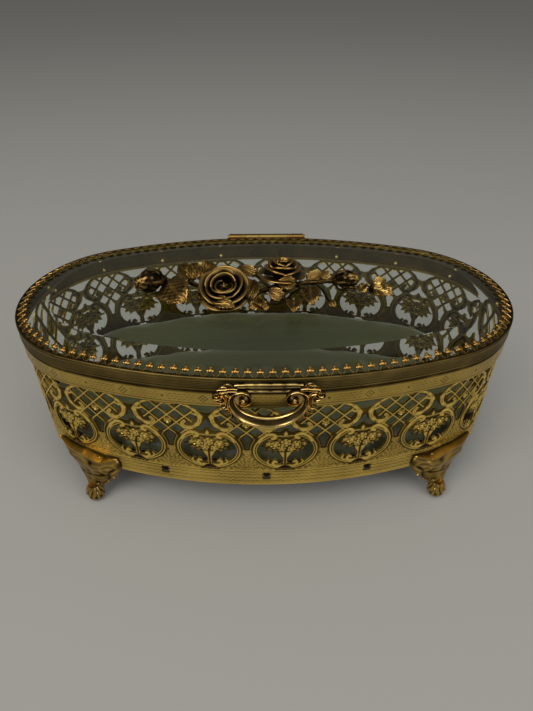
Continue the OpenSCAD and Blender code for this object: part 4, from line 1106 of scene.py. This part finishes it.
def foot(corner, mirror, node):
    part = Build()
    n, m = 64, 56
    a, b = np.meshgrid(np.linspace(0, 1, n), np.linspace(0, 1, m), indexing="ij")

    def across(z):
        lo, hi = (np.interp(z, *np.array(edge).T) for edge in (EDGE_IN, EDGE_OUT))
        return lo + (hi - lo) * b

    z = FOOT_Z + (np.interp(across(FOOT_Z + a * FOOT_RISE), TOP_U, TOP_Z) - FOOT_Z) * a
    u = across(z)
    x = b * 2 - 1
    crown = 1 - np.abs(x) ** 2.4
    middle = np.interp(z, [5, 10, 15, 20, 25, 31], [5.2, 4.7, 3.5, 3.7, 4.3, 2.2])
    edge = np.interp(z, [5, 9, 14, 20.5, 22, 31], [3.0, 2.2, 0.9, -0.2, -0.6, -0.75])
    out = edge + (middle - edge) * crown
    side_veins = np.cos(z * 2.1 - np.abs(x) * 6.0 + 0.8 * np.sin(u * 0.9))
    folds = bell(np.sin(np.arctan2(u, z - 4.0) * 5.2 + 0.30 * np.sin(z * 0.55)), 0.24)
    mid_rib = bell(x, 0.10)
    leafy = unit((z - 9) / 5)
    rel = 0.64 + (0.15 * side_veins - 0.48 * folds) * leafy * (1 - mid_rib) + 0.18 * mid_rib * leafy
    rim = unit(1 - (1 - a) * 9)
    rel = np.maximum(rel, rim * 0.95)
    # Painted shade with patina: the dents are darkened almost to the dark colour
    for cx, cz, r in ((-6.4, 18.2, 1.7), (5.4, 17.4, 1.2), (-2.6, 12.0, 1.0)):
        pit = bell(np.hypot(u - cx, (z - cz) * 1.25), r)
        rel = rel * (1 - 0.95 * pit)
        out = out - 1.1 * pit
    rel = rel * (1 - 0.6 * bell(z - 17.3, 0.5) * (np.abs(u) < 6))
    eye = np.hypot(u + 9.5, z - 22.5)
    roll = np.maximum.reduce([bell(eye - 3.6, 0.6), bell(np.hypot(u - 13.6, z - 25.4) - 2.7, 0.55), bell(eye, 1.1)])
    rel = unit(rel + 0.35 * roll)
    out = out + 0.55 * (rel - 0.5) * unit(crown * 3) + 0.5 * roll * crown + 0.45 * rim
    back = np.minimum(out - 0.9, np.where(z > 20.6, -1.05, np.interp(z, [5, 12, 20.6], [2.4, 0.2, -1.0])))
    s = corner + mirror * u.ravel()
    faces = grid_faces(n, m)
    part.add((np.c_[oval_at(s, out.ravel())[0], z.ravel()], faces, rel.ravel()))
    part.add((np.c_[oval_at(s, back.ravel())[0], z.ravel()], flipped(faces), 0.2))
    part.f += edge_faces(n, m)
    # Ball toe with gadroons, a small leaf collar over it, and bosses on the bracket
    p, tan, nrm = station(corner, TOE_OFF)

    def put(v):
        return np.c_[p + v[:, :1] * tan + v[:, 1:2] * nrm, v[:, 2]]

    v, f = ball((0, 0, 0), TOE_R, 26, 40)
    lobes = np.cos(10 * np.arctan2(v[:, 1], v[:, 0]))
    gadroons = 1 + 0.05 * lobes * unit(1 - np.abs(v[:, 2] / TOE_R)) * (v[:, 2] > -1.4)
    v = v * gadroons[:, None]
    rel = np.where(v[:, 2] > -1.2, unit(0.55 + 0.5 * lobes), 0.75)
    v[:, 2] = np.maximum(v[:, 2], -TOE_FLAT) + TOE_FLAT
    part.add((v, f, rel), put=put)
    for i in range(7):
        ang = math.radians(-105 + 35 * i)
        pts = [(math.sin(ang) * r, math.cos(ang) * r, h) for r, h in ((2.2, 9.6), (3.3, 8.4), (4.1, 6.9), (4.6, 5.6))]
        part.add(tube(spline(pts, 10), np.linspace(1.3, 0.45, 10), flat=0.7, sides=8), 0.8, put)
    for u0, z0, r in ((-14.4, 27.6, 0.8), (20.4, 29.9, 0.8), (-4.7, 27.6, 0.7)):
        part.add(ball((*station(corner + mirror * u0, 0.3)[0], z0), r))
    part.piece("cast_" + node, CAST, "base", "gilt_brass", (node,), 70)


foot(SIDE_LEN / 2, 1, "foot_front_right")
foot(-SIDE_LEN / 2, -1, "foot_front_left")
foot(HALF + SIDE_LEN / 2, 1, "foot_back_left")
foot(HALF - SIDE_LEN / 2, -1, "foot_back_right")

# Satin cushion, swollen by a short cloth simulation: (off from the wall, height over the board)
PAD_RINGS = [(-6.6, 0.6), (-3.8, 1.2), (-3.1, 3.6), (-3.3, 6.0), (-4.4, 8.4), (-7.2, 10.2), (-12, 11.2), (-20, 12.2),
             (-31, 12.9), (-45, 13.2)]
BOARD_Z, PAD_TOP, GLUED_TO, PAD_GAP = 29.0, 44.4, 33, 0.65
VOXEL, SWELL_MOST, CLOTH_FRAMES = 0.0045, 0.003, 20


def swollen(ob):
    """Points of the piece after the cloth pass; its foot, glued to the board, and the piece itself stay."""
    scene = bpy.context.scene
    start = np.array([q.co for q in ob.data.vertices])
    cloth = ob.modifiers.new("cloth", "CLOTH")
    st = cloth.settings
    st.use_pressure = True
    st.uniform_pressure_force = 4.0
    st.effector_weights.gravity = 0.0
    st.tension_stiffness = 12
    st.compression_stiffness = 8
    cloth.point_cache.frame_start = 1
    cloth.point_cache.frame_end = CLOTH_FRAMES
    for number in range(1, CLOTH_FRAMES + 1):
        scene.frame_set(number)
    after = evaluated_mesh(ob)
    move = np.array([q.co for q in after.vertices]) - start
    ob.modifiers.clear()
    scene.frame_set(1)
    bpy.data.meshes.remove(after)
    free = unit((start[:, 2:3] * 1000 - GLUED_TO) / 6)
    size = np.linalg.norm(move, axis=1)[:, None]
    return start + move * free * np.minimum(1, SWELL_MOST / np.maximum(size, 1e-9))


def cushion():
    rings = [(WALL_IN + off, BOARD_Z + z) for off, z in PAD_RINGS]
    ob = add_mesh("satin_cushion", *sweep(rings, 160, closed=False), SATIN, "base", "green_satin", ("base_pad",))
    remesh = ob.modifiers.new("remesh", "REMESH")
    remesh.mode = "VOXEL"
    remesh.voxel_size = VOXEL
    me = evaluated_mesh(ob)
    ob.modifiers.clear()
    ob.data = me
    p = swollen(ob) * 1000
    p[:, 1] -= Y_MID
    # Soft gathers near the edge and slow waves on top, then back inside the walls and on the board
    x, y, z = p.T
    off, nrm = oval_nearest(p[:, :2])
    ang = np.arctan2(y * 1.6, x)
    gathers = 0.32 * np.sin(ang * 46 + 2.0 * np.sin(ang * 5)) + 0.22 * np.sin(ang * 71 + 1.3)
    z = z + bell(off + 9, 7) * (z > GLUED_TO) * gathers
    waves = 0.30 * np.sin(x * 0.045 + 1.0) * bell(y - 6, 16) + 0.16 * np.sin(x * 0.11 + y * 0.16)
    p[:, 2] = np.clip(z + np.where(z > 38, waves, 0), BOARD_Z + 0.05, PAD_TOP)
    p[:, :2] -= nrm * np.maximum(off - (WALL_IN - PAD_GAP), 0)[:, None]
    p[:, 1] += Y_MID
    me.vertices.foreach_set("co", (p * 0.001).astype(np.float32).ravel())
    me.update()
    sub = ob.modifiers.new("smooth", "SUBSURF")
    sub.levels = sub.render_levels = 1
    me.polygons.foreach_set("use_smooth", [True] * len(me.polygons))


cushion()

# CAD pieces that stay as they are get their materials
CARRIED = {"base_plate": TARNISHED, "pad_board": CARD, "hinge_lid_leaf": CAST_CAD, "hinge_pin": PLAIN,
           "hinge_body_rivets": CAST_CAD, "hinge_lid_rivets": CAST_CAD, "foot_rivets": PLAIN, "pull_rivets": PLAIN,
           "spray_washers": PLAIN, "spray_nuts": PLAIN}
for node_name, mat in CARRIED.items():
    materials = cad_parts[node_name].data.materials
    materials.clear()
    materials.append(mat)
